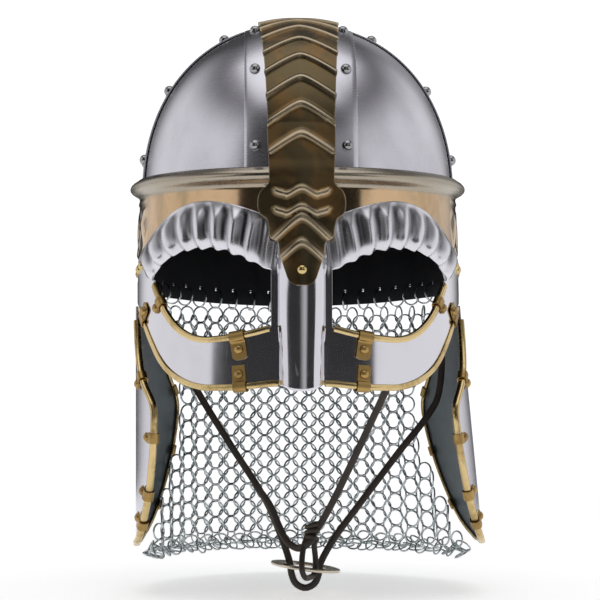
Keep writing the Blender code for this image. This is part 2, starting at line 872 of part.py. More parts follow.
def knuckle(name, start, end):
    bm = bmesh.new()
    radii = {"radius1": knuckle_radius, "radius2": knuckle_radius}
    bmesh.ops.create_cone(bm, cap_ends=True, segments=8, depth=end - start, **radii)
    lying = Matrix.Rotation(math.radians(90.0), 3, "X")
    bmesh.ops.rotate(bm, cent=(0, 0, 0), matrix=lying, verts=bm.verts)
    bmesh.ops.translate(bm, vec=(0.0, (start + end) / 2, 0.0), verts=bm.verts)
    return place_mesh(name, bm, brass)


def fixed_leaf(name, right):
    # The leaf on the rim, with the middle knuckle under it.
    axis = hinge_axis(right)
    sign = 1.0 if right else -1.0
    half_turn = math.degrees(leaf_length / 2 / bowl_half_length)
    lift = band_face + gap + leaf_wall

    def place(column, row):
        turn = sign * 90.0 + half_turn * (column - 1)
        return on_bowl(turn, leaf_clear + (leaf_height - leaf_clear) * row, lift)

    leaf = sheet(name, 2, 1, place, leaf_wall, brass)
    barrel = knuckle(name + "_barrel", -knuckle_length / 2, knuckle_length / 2)
    barrel.location = axis
    bm = bmesh.new()
    bmesh.ops.create_cube(bm, size=1.0)
    outer = bowl_axes(0.0, lift)[0] - leaf_wall / 10
    reach = outer - abs(axis.x)
    deep = knuckle_length - 2 * gap
    bmesh.ops.scale(bm, vec=(leaf_wall, deep, leaf_height / 2 + hinge_drop), verts=bm.verts)
    top = place_mesh(name + "_tongue", bm, brass, smooth=False)
    top.location = (sign * (outer - leaf_wall / 2), 0.0, leaf_height / 4 - hinge_drop / 2)
    bm = bmesh.new()
    bmesh.ops.create_cube(bm, size=1.0)
    bmesh.ops.scale(bm, vec=(reach, deep, leaf_wall), verts=bm.verts)
    foot = place_mesh(name + "_foot", bm, brass, smooth=False)
    foot.location = (sign * (abs(axis.x) + reach / 2), 0.0, -hinge_drop)
    pins = []
    for index, share in enumerate((-0.55, 0.55)):
        turn = sign * 90.0 + half_turn * share
        seat = on_bowl(turn, leaf_height * 0.85, lift - leaf_wall * 0.8)
        out = out_of_bowl(turn)
        pins.append(rivet(f"{name}_pin_{index}", seat, out, brass_rivet_radius, brass_rivet_rise, brass))
    return join(leaf, [barrel, top, foot] + pins)


def moving_leaf(name, right):
    # The leaf inside the cheek plate, with the two outer knuckles.
    axis = hinge_axis(True)
    start = knuckle_length / 2 + gap
    end = leaf_length / 2 - gap
    inner = cheek_half_width - cheek_wall - gap - leaf_wall / 2
    bm = bmesh.new()
    bmesh.ops.create_cube(bm, size=1.0)
    bmesh.ops.scale(bm, vec=(leaf_wall, 2 * end, leaf_height * 0.6), verts=bm.verts)
    curve_back = end**2 / (2 * cheek_half_length)
    leaf = place_mesh(name, bm, brass, smooth=False)
    drop = cheek_top - leaf_drop - leaf_height * 0.3
    leaf.data.transform(Matrix.Translation((inner - curve_back - leaf_wall / 2, 0.0, drop)))
    parts = []
    for index, side in enumerate((-1, 1)):
        low, high = sorted((side * start, side * end))
        barrel = knuckle(f"{name}_barrel_{index}", low, high)
        barrel.data.transform(Matrix.Translation(axis))
        top = drop + leaf_height * 0.3 - leaf_wall
        foot_at = Vector((inner - curve_back - leaf_wall / 2, 0.0, top))
        reach = foot_at - axis
        bm = bmesh.new()
        bmesh.ops.create_cube(bm, size=1.0)
        bmesh.ops.scale(bm, vec=(leaf_wall, high - low, reach.length), verts=bm.verts)
        arm = place_mesh(f"{name}_arm_{index}", bm, brass, smooth=False)
        lean = math.atan2(reach.x, reach.z)
        middle = axis + reach / 2 + Vector((0.0, (low + high) / 2, 0.0))
        arm.data.transform(Matrix.Translation(middle) @ Matrix.Rotation(lean, 4, "Y"))
        parts += [barrel, arm]
    for part in parts + [leaf]:
        place_cheek(part, right)
    return join(leaf, parts)


def mail_curtain(name):
    # The hanging mail as one wall, which follows the rim and ends in a rolled hem.
    count = 16
    half = mail_wall / 2
    middle = (band_face - plate_wall) / 2

    def section(turn):
        share = (turn - mail_start_turn) / (mail_end_turn - mail_start_turn)
        edge = abs(2.0 * share - 1.0)
        flare = (mail_right_flare if share < 0.5 else mail_left_flare) * edge**2
        top = rim_height(turn) - gap
        out = out_of_bowl(turn)

        def hang(height):
            fall = max(0.0, -height / abs(mail_bottom))
            sway = flare * fall**1.4 - mail_inset * min(1.0, fall * 12.0)
            return on_bowl(turn, 0.0, middle) + out * sway + Vector((0.0, 0.0, height))

        heights = [top] + [mail_bottom * share for share in (0.09, 0.40, 0.70)]
        heights.append(mail_bottom + hem_radius * 0.6)
        points = [hang(height) + out * half for height in heights]
        hem = hang(mail_bottom - hem_radius * 0.3) + out * hem_radius * 0.4
        for step in range(5):
            angle = math.radians(40.0 - 65.0 * step)
            rise = Vector((0.0, 0.0, hem_radius * math.sin(angle)))
            points.append(hem + out * hem_radius * math.cos(angle) + rise)
        points += [hang(height) - out * half for height in reversed(heights)]
        return points

    spread = mail_end_turn - mail_start_turn
    return loft(name, [section(mail_start_turn + spread * i / count) for i in range(count + 1)], zinc)


def strap_ring(name):
    # The flat ring that gathers the straps.
    bm = bmesh.new()
    sharp = ring_wall * 0.25
    outline = (
        (ring_hole_radius, -ring_wall / 2 + sharp),
        (ring_hole_radius + sharp, -ring_wall / 2),
        (ring_radius - sharp, -ring_wall / 2),
        (ring_radius, -ring_wall / 2 + sharp),
        (ring_radius, ring_wall / 2 - sharp),
        (ring_radius - sharp, ring_wall / 2),
        (ring_hole_radius + sharp, ring_wall / 2),
        (ring_hole_radius, ring_wall / 2 - sharp),
    )
    verts = [bm.verts.new((x, 0.0, z)) for x, z in outline]
    edges = [bm.edges.new(pair) for pair in zip(verts, verts[1:] + verts[:1])]
    bmesh.ops.spin(
        bm, geom=verts + edges, cent=(0, 0, 0), axis=(0, 0, 1), angle=math.tau, steps=16, use_merge=True
    )
    bmesh.ops.recalc_face_normals(bm, faces=bm.faces)
    item = place_mesh(name, bm, brass)
    item.location = fitted(ring_centre)
    item.rotation_euler = (0.0, math.radians(ring_tilt), 0.0)
    return item


def short_strap(name):
    # The strap that is tied round the ring: its run, knot, loop and tail are one piece.
    run = tube(name, short_strap_route, strap_radius, 1, leather)
    loop = tube(name + "_loop", ring_loop_route, strap_radius * 0.85, 2, leather)
    tail = tube(name + "_tail", tail_route, strap_radius, 2, leather)
    bm = bmesh.new()
    bmesh.ops.create_uvsphere(bm, u_segments=8, v_segments=6, radius=1.0)
    bmesh.ops.scale(bm, vec=knot_radii, verts=bm.verts)
    knot = place_mesh(name + "_knot", bm, leather)
    knot.location = fitted(knot_centre)
    return join(run, [knot, loop, tail])


def dome_rivets():
    # Rows of rivets along both edges of each band.
    long_side = long_band_width / 2 - long_rivet_inset
    for row, angle in enumerate(long_rivet_angles):
        for side, word in ((-1.0, "left"), (1.0, "right")):
            foot = on_arc(angle, side * long_side, band_face)
            ahead = on_arc(angle + 1.0, side * long_side, band_face) - foot
            beside = on_arc(angle, side * long_side + 0.001, band_face) - foot
            out = beside.cross(ahead).normalized()
            rivet(f"long_rivet_{word}_{row + 1}", foot, out, rivet_radius, rivet_rise, rivet_steel)
    cross_side = cross_band_width / 2 - cross_rivet_inset
    for row, angle in enumerate(cross_rivet_angles):
        for side, word in ((-1.0, "front"), (1.0, "rear")):
            foot = on_arc(angle, side * cross_side, band_face, lengthwise=False)
            ahead = on_arc(angle + 1.0, side * cross_side, band_face, lengthwise=False) - foot
            beside = on_arc(angle, side * cross_side + 0.001, band_face, lengthwise=False) - foot
            out = ahead.cross(beside).normalized()
            rivet(f"cross_rivet_{word}_{row + 1}", foot, out, rivet_radius, rivet_rise, rivet_steel)


skull_plate("skull_plate_front_left", front=True, right=False)
skull_plate("skull_plate_front_right", front=True, right=True)
skull_plate("skull_plate_rear_left", front=False, right=False)
skull_plate("skull_plate_rear_right", front=False, right=True)
long_band("long_band")
cross_band("cross_band_left", right=False)
cross_band("cross_band_right", right=True)
dome_rivets()
brow_band("brow_band")
crest("crest")
spectacle_guard("spectacle_guard")
nose_foot = on_wall(nose_rivet_height, 0.0, crest_tip_lift)
rivet("nose_rivet", nose_foot, Vector((0.0, -1.0, 0.0)), brass_rivet_radius, brass_rivet_rise, brass)

for word, on_right in (("left", False), ("right", True)):
    guard_trim("eye_trim_" + word, 2, *eye_trim_turns, 14, on_right)
    guard_trim("jaw_trim_" + word, 1, *jaw_trim_turns, 15, on_right)
    guard_clip("eye_clip_" + word, 2, eye_clip_turn, eye_clip_size, on_right)
    guard_clip("jaw_clip_" + word, 1, jaw_clip_turn, jaw_clip_size, on_right)
    guard_clip("eye_end_clip_" + word, 2, eye_end_clip_turn, temple_clip_size, on_right)
    guard_clip("jaw_end_clip_" + word, 1, jaw_end_clip_turn, temple_clip_size, on_right)
    cheek_plate("cheek_plate_" + word, on_right)
    cheek_trim("cheek_trim_" + word, on_right)
    fixed_leaf("hinge_leaf_" + word, on_right)
    moving_leaf("cheek_leaf_" + word, on_right)

mail_curtain("mail_curtain")
tube("long_strap", long_strap_route, strap_radius, 1, leather)
short_strap("short_strap")
strap_ring("strap_ring")
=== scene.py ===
import math
import random

import bmesh
import bpy
from mathutils import Matrix, Vector


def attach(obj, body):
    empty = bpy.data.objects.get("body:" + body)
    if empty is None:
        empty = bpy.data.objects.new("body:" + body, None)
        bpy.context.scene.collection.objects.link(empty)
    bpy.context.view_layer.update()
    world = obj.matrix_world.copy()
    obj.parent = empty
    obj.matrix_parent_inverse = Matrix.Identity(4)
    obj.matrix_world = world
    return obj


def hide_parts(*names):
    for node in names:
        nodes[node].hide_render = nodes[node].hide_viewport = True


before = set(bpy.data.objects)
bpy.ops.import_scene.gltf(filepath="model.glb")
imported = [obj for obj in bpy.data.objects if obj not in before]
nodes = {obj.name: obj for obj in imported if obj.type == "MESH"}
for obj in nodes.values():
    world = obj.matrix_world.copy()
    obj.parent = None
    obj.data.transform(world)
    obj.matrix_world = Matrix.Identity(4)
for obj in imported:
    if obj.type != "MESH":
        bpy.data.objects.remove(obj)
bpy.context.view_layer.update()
print("frame loaded,", len(nodes), "nodes")

# Everything is in metres. The face looks along -Y and +X is on the right of someone who faces it.
# A turn is an angle round the bowl: 0 in front, 90 at +X, 180 at the back.
bowl = dict(halfWidth=0.0985, halfLength=0.1135, flare=0.0015, spring=0.060, rise=0.1105,
            power=2.2, backDrop=0.0055, frontEdge=0.036)
walls = dict(plate=0.0012, band=0.0010, brass=0.0009, guard=0.0012, gap=0.0003, layer=0.0006,
             bead=0.0060, nasal=0.0075)  # the last two are how far the bead and the nasal stand out
faces = {}  # how far each layer's outer face lies off the skull plates
faces["band"] = walls["layer"] + walls["band"]
faces["brow"] = faces["band"] + walls["gap"] + walls["brass"]
faces["bead"] = faces["brow"] + walls["bead"]
faces["guard"] = faces["brow"] + walls["gap"] + walls["guard"]
faces["nasal"] = faces["guard"] + walls["nasal"]
faces["crestDome"] = faces["band"] + walls["layer"] + walls["brass"]
faces["crestBead"] = faces["bead"] + walls["gap"] + walls["brass"]
faces["crestTip"] = faces["nasal"] + walls["gap"] + walls["brass"]
faces["crestBack"] = faces["brow"] + walls["gap"] + walls["brass"]

plateEdge = ((0, 1.00), (44, 1.00), (56, 0.85), (66, 0.25), (74, 0.00), (90, 0.00))  # turn, share
rimDrop = ((90, 0.0), (120, 0.20), (150, 0.70), (180, 1.0))  # turn, share


def readTable(table, column, at):
    # reads a column on a smooth curve through its rows
    places = [row[0] for row in table]
    values = [row[column] for row in table]
    if at <= places[0]:
        return values[0]
    if at >= places[-1]:
        return values[-1]
    last = len(places) - 1
    index = max(i for i in range(last) if places[i] <= at)
    before, after = max(index - 1, 0), min(index + 2, last)
    span = places[index + 1] - places[index]
    share = (at - places[index]) / span
    slopeIn = (values[index + 1] - values[before]) / (places[index + 1] - places[before]) * span
    slopeOut = (values[after] - values[index]) / (places[after] - places[index]) * span
    return (values[index] * (1 + 2 * share) * (1 - share) ** 2 + slopeIn * share * (1 - share) ** 2
            + values[index + 1] * share**2 * (3 - 2 * share) + slopeOut * share**2 * (share - 1))


def smooth(low, high, at):
    share = min(1.0, max(0.0, (at - low) / (high - low)))
    return share * share * (3 - 2 * share)


def bowlAxes(height, offset):
    if height <= bowl["spring"]:
        flare = bowl["flare"] * min(1.0, 1.0 - height / bowl["spring"])
        return bowl["halfWidth"] + flare + offset, bowl["halfLength"] + flare + offset
    share = min(1.0, (height - bowl["spring"]) / (bowl["rise"] + offset))
    shrink = (1.0 - share ** bowl["power"]) ** (1.0 / bowl["power"])
    return (bowl["halfWidth"] + offset) * shrink, (bowl["halfLength"] + offset) * shrink


def onEllipse(across, along, turn, height):
    angle = math.radians(turn)
    return Vector((across * math.sin(angle), -along * math.cos(angle), height))


def onBowl(turn, height, offset):
    return onEllipse(*bowlAxes(height, offset), turn, height)


def outOf(shape, turn):
    # the level way out of the bowl or of a cheek plate
    angle = math.radians(turn)
    out = Vector((math.sin(angle) / shape["halfWidth"], -math.cos(angle) / shape["halfLength"], 0))
    return out.normalized()


def fromFront(turn):
    return abs((turn + 180.0) % 360.0 - 180.0)


def onDome(x, y, offset):
    across, along = bowl["halfWidth"] + offset, bowl["halfLength"] + offset
    reach = min(1.0, math.hypot(x / across, y / along))
    rise = (bowl["rise"] + offset) * (1.0 - reach ** bowl["power"]) ** (1.0 / bowl["power"])
    return Vector((x, y, bowl["spring"] + rise))


def onArc(angle, side, offset, lengthwise=True):
    turn = math.radians(angle)
    reach = math.copysign(abs(math.cos(turn)) ** (2.0 / bowl["power"]), math.cos(turn))
    if lengthwise:
        narrow = math.sqrt(1.0 - (side / (bowl["halfWidth"] + offset)) ** 2)
        return onDome(side, -(bowl["halfLength"] + offset) * reach * narrow, offset)
    narrow = math.sqrt(1.0 - (side / (bowl["halfLength"] + offset)) ** 2)
    return onDome(-(bowl["halfWidth"] + offset) * reach * narrow, side, offset)


def besideBowl(height, side, lift, back=False):
    across, along = bowlAxes(height, 0.0)
    depth = (along + lift) * math.sqrt(1.0 - (side / (across + lift)) ** 2)
    return Vector((side, depth if back else -depth, height))


def rimHeight(turn):
    turn = fromFront(turn)
    if turn < 90.0:
        return bowl["frontEdge"] * readTable(plateEdge, 1, turn)
    return -bowl["backDrop"] * readTable(rimDrop, 1, turn)


# Materials

class Wire:
    # a node's socket that takes part in sums as a number does
    def __init__(self, board, socket):
        self.board = board
        self.socket = socket

    def sum(self, operation, *values):
        return self.board.node("Math", dict(operation=operation), values)

    def __add__(self, other):
        return self.sum("ADD", self, other)

    def __sub__(self, other):
        return self.sum("SUBTRACT", self, other)

    def __rsub__(self, other):
        return self.sum("SUBTRACT", other, self)

    def __mul__(self, other):
        return self.sum("MULTIPLY", self, other)

    __radd__ = __add__
    __rmul__ = __mul__

    def atLeast(self, other):
        return self.sum("MAXIMUM", self, other)

    def between(self, low, high):
        # 0 at low and 1 at high, smooth in between
        steps = dict(interpolation_type="SMOOTHSTEP")
        return self.board.node("MapRange", steps, {"Value": self, "From Min": low, "From Max": high})


class Board:
    # the nodes of a material or of the sky, with one method that adds any node
    def __init__(self, owner, shader):
        owner.use_nodes = True
        self.tree = owner.node_tree
        self.shader = self.tree.nodes[shader]

    def feed(self, name, value, node=None):
        socket = (node or self.shader).inputs[name]
        if isinstance(value, Wire):
            self.tree.links.new(value.socket, socket)
        elif socket.type == "RGBA":
            socket.default_value = (*value, 1.0)
        else:
            socket.default_value = value

    def node(self, kind, settings, values, output=0):
        made = self.tree.nodes.new("ShaderNode" + kind)
        for name, value in settings.items():
            setattr(made, name, value)
        pairs = values.items() if isinstance(values, dict) else enumerate(values)
        for name, value in pairs:
            self.feed(name, value, made)
        return Wire(self, made.outputs[output])

    def parts(self, vector, axes):
        return [self.node("SeparateXYZ", {}, {"Vector": vector}, axis) for axis in axes]


class Paint(Board):
    def __init__(self, name, **constants):
        self.material = bpy.data.materials.new(name)
        super().__init__(self.material, "Principled BSDF")
        for socket, value in constants.items():
            self.feed(socket.replace("_", " "), value)

    def place(self, scale=(1, 1, 1), turn=(0, 0, 0)):
        coords = self.node("TexCoord", {}, {}, "Object")
        return self.node("Mapping", {}, {"Vector": coords, "Scale": scale, "Rotation": turn})

    def noise(self, scale, detail=3.0, turn=(0, 0, 0), distortion=0.0):
        # the scale is one number, or one for each axis
        scale = scale if isinstance(scale, tuple) else (scale, scale, scale)
        values = {"Vector": self.place(scale, turn), "Scale": 1.0, "Detail": detail,
                  "Distortion": distortion}
        return self.node("TexNoise", {}, values, "Fac")

    def height(self):
        return self.parts(self.place(), "Z")[0]

    def attribute(self, name):
        return self.node("Attribute", dict(attribute_name=name), {}, "Fac")

    def mix(self, factor, first, second):
        return self.node("Mix", dict(data_type="RGBA"), {0: factor, 6: first, 7: second}, 2)

    def finished(self, colour, rough, height, strength, distance):
        values = {"Height": height, "Strength": strength, "Distance": distance}
        self.feed("Base Color", colour)
        self.feed("Roughness", rough)
        self.feed("Normal", self.node("Bump", {}, values))
        return self.material


def steelPaint(name, colour, shade, rough, grain, cloud, uneven=0.10, grooveShade=None):
    # rolled and polished steel: hair lines round the bowl, faint clouds and a few scratches
    paint = Paint(name, Metallic=1.0)
    hair = paint.noise((22, 22, 1700), 3.0)
    broad = paint.noise((11, 11, 9), 3.0, distortion=0.4)
    smudge = paint.noise((46, 46, 38), 5.0)
    scratch = paint.noise((30, 900, 60), 2.0, (0.4, 0.3, 0.9)).between(0.70, 0.78)
    stain = (broad * 0.55 + smudge * 0.45).between(0.40, 0.72)
    base = paint.mix(stain * cloud + scratch * 0.15, colour, shade)
    gloss = hair * grain + smudge * 0.10 + scratch * 0.10 + (rough - grain * 0.5 - 0.05)
    if grooveShade:
        # dull where it was hammered, and painted shade, near black, in the flute grooves
        base = paint.mix(paint.attribute("relief") * 0.92, base, grooveShade)
        gloss = gloss + paint.height().between(0.004, 0.014) * 0.15
    return paint.finished(base, gloss, hair * 0.5 + smudge * 0.3 - scratch * 0.4, uneven, 0.00005)


def darkPaint(name, colour, shade, rough):
    # the inner side, a dark metal in faint clouds
    paint = Paint(name, Metallic=0.85)
    broad = paint.noise(14, 4.0)
    fine = paint.noise(160, 4.0)
    base = paint.mix(broad.between(0.35, 0.7), colour, shade)
    return paint.finished(base, fine * 0.18 + (rough - 0.09), fine + broad, 0.18, 0.0004)


def antiquePaint(name, colour, dark, warm, rubbed, rough, above=None, upper=None):
    # darkened brass that is warm in patches, rubbed bright along what stands out and painted with a
    # highlight there
    paint = Paint(name, Metallic=1.0)
    broad = paint.noise((19, 19, 23), 4.0, distortion=0.6)
    patch = paint.noise((58, 58, 40), 4.0, distortion=0.8)
    fine = paint.noise(420, 4.0)
    relief = paint.attribute("relief")
    wornAndHighlitMask = (relief + patch * 0.35 - 0.175).between(0.20, 0.95)
    pit = (0.20 - relief).between(0.0, 0.35) * patch.between(0.40, 0.75)
    base = paint.mix(broad.between(0.42, 0.66), colour, dark)
    base = paint.mix(patch.between(0.44, 0.70) * 0.75, base, warm)
    base = paint.mix(pit * 0.5, base, dark)
    gloss = fine * 0.10 + patch * 0.16 - wornAndHighlitMask * 0.08 + (rough - 0.13)
    if above:
        top = paint.height().between(*above)
        base = paint.mix(top * 0.85, base, upper)
        gloss = gloss + top * 0.14
    # wear and painted highlight: lighter brass over the ribs, the braid and the rubbed edges
    base = paint.mix(wornAndHighlitMask * 0.85, base, rubbed)
    return paint.finished(base, gloss, fine * 0.4 + patch * 0.4, 0.12, 0.0003)


def brassPaint(name, colour, dark, rough):
    # yellow brass with brown tarnish in clouds
    paint = Paint(name, Metallic=1.0)
    broad = paint.noise(38, 4.0, distortion=0.5)
    fine = paint.noise(300, 4.0)
    tarnish = (broad * 0.7 + fine * 0.3).between(0.46, 0.68)
    gloss = tarnish * 0.14 + fine * 0.08 + (rough - 0.06)
    base = paint.mix(tarnish * 0.8, colour, dark)
    return paint.finished(base, gloss, fine * 0.6 + broad * 0.2, 0.12, 0.0003)


def zincPaint(name, colour, shade, rough):
    # bright plated wire, a little dull in spots
    paint = Paint(name, Metallic=1.0)
    broad = paint.noise(90, 2.0)
    fine = paint.noise(700, 3.0)
    base = paint.mix((broad * 0.6 + fine * 0.4).between(0.42, 0.62), colour, shade)
    return paint.finished(base, fine * 0.16 + (rough - 0.08), fine, 0.10, 0.0002)


def leatherPaint(name, colour, light, cut):
    # waxed leather with a fine grain, cracked across its length and paler at its cut edges
    paint = Paint(name, Specular_IOR_Level=0.45)
    broad = paint.noise(70, 4.0)
    grain = paint.noise(900, 4.0, distortion=0.3)
    crease = paint.noise((260, 260, 1300), 3.0, (0.5, 0.3, 0.0))
    edge = paint.attribute("relief") * broad.between(0.35, 0.60)
    base = paint.mix(broad.between(0.40, 0.70) * 0.7, colour, light)
    base = paint.mix(edge * 0.75, base, cut)
    gloss = grain * 0.22 + edge * 0.15 + 0.42
    return paint.finished(base, gloss, grain * 0.6 + crease * 0.7, 0.35, 0.0005)


paints = dict(
    steel=steelPaint("brushedSteel", (0.62, 0.605, 0.655), (0.43, 0.425, 0.46), 0.26, 0.06, 0.60, 0.05),
    # the guard's last colour is the painted shade laid in its flute grooves
    guard=steelPaint("guardSteel", (0.70, 0.69, 0.735), (0.55, 0.545, 0.585), 0.12, 0.02, 0.45, 0.015,
                     (0.050, 0.050, 0.055)),
    cheek=steelPaint("cheekSteel", (0.66, 0.645, 0.70), (0.50, 0.49, 0.53), 0.25, 0.05, 0.50, 0.05),
    rivet=steelPaint("rivetSteel", (0.36, 0.36, 0.37), (0.20, 0.20, 0.21), 0.18, 0.04, 0.60),
    inside=darkPaint("innerSteel", (0.030, 0.031, 0.035), (0.016, 0.016, 0.019), 0.55),
    slate=darkPaint("cheekInside", (0.150, 0.172, 0.185), (0.100, 0.118, 0.130), 0.40),
    # the fourth colour of the crest and brow brass is their rubbed colour, which is also a painted
    # highlight
    crest=antiquePaint("crestBrass", (0.125, 0.094, 0.050), (0.068, 0.052, 0.030), (0.265, 0.150, 0.054),
                       (0.44, 0.36, 0.25), 0.36),
    brow=antiquePaint("browBrass", (0.62, 0.43, 0.255), (0.42, 0.30, 0.175), (0.70, 0.47, 0.27),
                      (0.62, 0.58, 0.50), 0.12, (0.0575, 0.0600), (0.34, 0.315, 0.265)),
    trim=brassPaint("trimBrass", (0.66, 0.50, 0.245), (0.38, 0.26, 0.100), 0.24),
    clip=brassPaint("clipBrass", (0.42, 0.275, 0.100), (0.24, 0.150, 0.050), 0.34),
    stud=brassPaint("studBrass", (0.62, 0.48, 0.22), (0.38, 0.27, 0.10), 0.20),
    washer=brassPaint("ringBronze", (0.62, 0.55, 0.44), (0.43, 0.37, 0.28), 0.26),
    zinc=zincPaint("zincWire", (0.60, 0.635, 0.645), (0.36, 0.40, 0.415), 0.24),
    leather=leatherPaint("brownLeather", (0.020, 0.0135, 0.0100), (0.040, 0.027, 0.019),
                         (0.17, 0.125, 0.085)),
)
print("materials made,", len(paints))


# Mesh helpers

meshing = dict(weld=0.000002, sharpFrom=42, bevelFrom=60, bevelSegments=2, headSides=20, headRings=12)


def gridMesh(columns, rows, place, leftOut=None):
    # a grid whose every corner goes to place(column, row), which gives a point and its relief
    bm = bmesh.new()
    bmesh.ops.create_grid(bm, x_segments=columns, y_segments=rows, size=0.5)
    for vert in bm.verts:
        vert.co = (round((vert.co.x + 0.5) * columns), round((vert.co.y + 0.5) * rows), 0.0)
    if leftOut:
        middles = [(face, face.calc_center_median()) for face in bm.faces]
        gone = [face for face, at in middles if leftOut(int(at.x), int(at.y))]
        bmesh.ops.delete(bm, geom=gone, context="FACES")
    relief = bm.verts.layers.float.new("relief")
    for vert in bm.verts:
        vert.co, vert[relief] = place(round(vert.co.x), round(vert.co.y))
    return bm


def sweepMesh(stations, profile, reliefs=None):
    # runs a closed profile along stations of (point, out, into) and caps its ends
    rows = len(profile)

    def place(column, row):
        point, out, into = stations[column]
        across, deep = profile[row % rows]
        relief = reliefs[row % rows] if reliefs else 0.0
        return point + out * across + into * deep, relief

    bm = gridMesh(len(stations) - 1, rows, place)
    bmesh.ops.remove_doubles(bm, verts=bm.verts, dist=meshing["weld"])
    edges = [edge for edge in bm.edges if edge.is_boundary]
    bmesh.ops.holes_fill(bm, edges=edges, sides=0)
    bmesh.ops.recalc_face_normals(bm, faces=bm.faces)
    return bm


def camel(name):
    first, *rest = name.split("_")
    return first + "".join(word.capitalize() for word in rest)


def meshFrom(name, bm):
    mesh = bpy.data.meshes.new(name)
    bm.to_mesh(mesh)
    bm.free()
    return mesh


def addToScene(name, data):
    made = bpy.data.objects.new(name, data)
    bpy.context.scene.collection.objects.link(made)
    return made


def makePiece(node, bm, finish, body="helmet", replaced=True, thickness=None, edge=None,
              turned=None):
    # a finished piece, which stands for the CAD node of its name unless it is told otherwise
    name = camel(node)
    if turned:
        bmesh.ops.transform(bm, matrix=turned, verts=bm.verts)
        if turned.determinant() < 0:
            bmesh.ops.reverse_faces(bm, faces=bm.faces)
    mesh = meshFrom(name, bm)
    mesh.shade_smooth()
    mesh.set_sharp_from_angle(angle=math.radians(meshing["sharpFrom"]))
    for word in finish.split():
        mesh.materials.append(paints[word])
    piece = addToScene(name, mesh)
    if thickness:
        solid = piece.modifiers.new("wall", "SOLIDIFY")
        solid.thickness = thickness
        solid.offset = -1.0
        solid.material_offset = len(mesh.materials) - 1
    if edge:
        bevel = piece.modifiers.new("edge", "BEVEL")
        bevel.width = edge
        bevel.segments = meshing["bevelSegments"]
        bevel.limit_method = "ANGLE"
        bevel.angle_limit = math.radians(meshing["bevelFrom"])
    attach(piece, body)
    if replaced:
        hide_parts(node if replaced is True else replaced)


def domeMesh(radius, rise, foot, out):
    # a rivet's head on a flat foot
    bm = bmesh.new()
    bmesh.ops.create_uvsphere(bm, u_segments=meshing["headSides"], v_segments=meshing["headRings"],
                              radius=1.0)
    whole = bm.verts[:] + bm.edges[:] + bm.faces[:]
    cut = bmesh.ops.bisect_plane(bm, geom=whole, plane_co=(0, 0, 0), plane_no=(0, 0, -1),
                                 clear_outer=True)
    edges = [part for part in cut["geom_cut"] if isinstance(part, bmesh.types.BMEdge)]
    bmesh.ops.holes_fill(bm, edges=edges, sides=0)
    bmesh.ops.recalc_face_normals(bm, faces=bm.faces)
    bmesh.ops.scale(bm, vec=(radius, radius, rise), verts=bm.verts)
    turn = out.to_track_quat("Z", "Y").to_matrix().to_4x4()
    bmesh.ops.transform(bm, matrix=Matrix.Translation(foot) @ turn, verts=bm.verts)
    return bm


def pourInto(bm, other):
    # adds the other bmesh to this one
    mesh = meshFrom("poured", other)
    bm.from_mesh(mesh)
    bpy.data.meshes.remove(mesh)


# Skull plates and bands

shell = dict(columns=26, wallRows=10, domeRows=26, tuck=0.008, crown=1.05, edge=0.00025,
             longWidth=0.068, longColumns=20, frontRows=6, arcRows=96, backRows=12,
             crossWidth=0.036, crossColumns=10, crossRows=44)
holes = dict(lift=0.0095, half=0.0009, middle=182.3, step=7.75, aside=9)  # for the mail, in the rim
holeTurns = [holes["middle"] + holes["step"] * i for i in range(-holes["aside"], holes["aside"] + 1)]


def holeColumns(places, low, high, count, half):
    # even columns from low to high, moved aside to leave a narrow one round each place
    inside = [place for place in places if low + half * 1.5 < place < high - half * 1.5]
    step = (high - low) / count
    evens = [low + step * i for i in range(1, count)]
    kept = [at for at in evens if all(abs(at - place) > half * 1.6 for place in inside)]
    starts = [place - half for place in inside]
    lines = sorted([low, high] + kept + starts + [place + half for place in inside])
    return lines, {lines.index(at) for at in starts}


def wallHeight(turn, row, rows):
    # rows up the bowl's wall from the rim, of which the second is as high as the mail's holes
    low = rimHeight(turn)
    under, over = low + holes["lift"] - holes["half"], low + holes["lift"] + holes["half"]
    if row < 3:
        return (low, under, over)[row]
    return over + (bowl["spring"] - over) * (row - 2) / (rows - 2)


def skullPlate(name, front, right):
    # one quarter of the bowl, which runs under the edges of the bands
    sideStart = shell["longWidth"] / 2 - shell["tuck"]
    endStart = shell["crossWidth"] / 2 - shell["tuck"]
    reach = math.hypot(sideStart / bowl["halfWidth"], endStart / bowl["halfLength"]) * shell["crown"]
    lastAngle = math.acos(reach ** (bowl["power"] / 2.0))
    wallRows, domeRows = shell["wallRows"], shell["domeRows"]
    least = math.degrees(math.asin(sideStart / bowl["halfWidth"]))
    most = math.degrees(math.acos(endStart / bowl["halfLength"]))
    aside = [fromFront(turn) for turn in holeTurns if (turn < 180.0) == right and not front]
    aside = [(180.0 - turn - least) / (most - least) for turn in aside]
    half = holes["half"] / bowl["halfLength"] * 180.0 / math.pi / (most - least)
    lines, narrow = holeColumns(aside, 0.0, 1.0, shell["columns"], half)
    columns = len(lines) - 1
    flip = right != front

    def leftOut(column, row):
        return row == 1 and (columns - 1 - column if flip else column) in narrow

    def place(column, row):
        share = lines[columns - column if flip else column]
        rise = max(0.0, (row - wallRows) / domeRows) * lastAngle
        shrink = math.cos(rise) ** (2.0 / bowl["power"])
        first = math.degrees(math.asin(sideStart / (bowl["halfWidth"] * shrink)))
        last = math.degrees(math.acos(endStart / (bowl["halfLength"] * shrink)))
        turn = first + (last - first) * share
        turn = turn if front else 180.0 - turn
        height = bowl["spring"] + bowl["rise"] * math.sin(rise) ** (2.0 / bowl["power"])
        if row < wallRows:
            height = wallHeight(turn, row, wallRows)
        return onBowl(turn if right else -turn, height, 0.0), 0.0

    bm = gridMesh(columns, wallRows + domeRows, place, leftOut)
    makePiece(name, bm, "steel inside", thickness=walls["plate"], edge=shell["edge"])


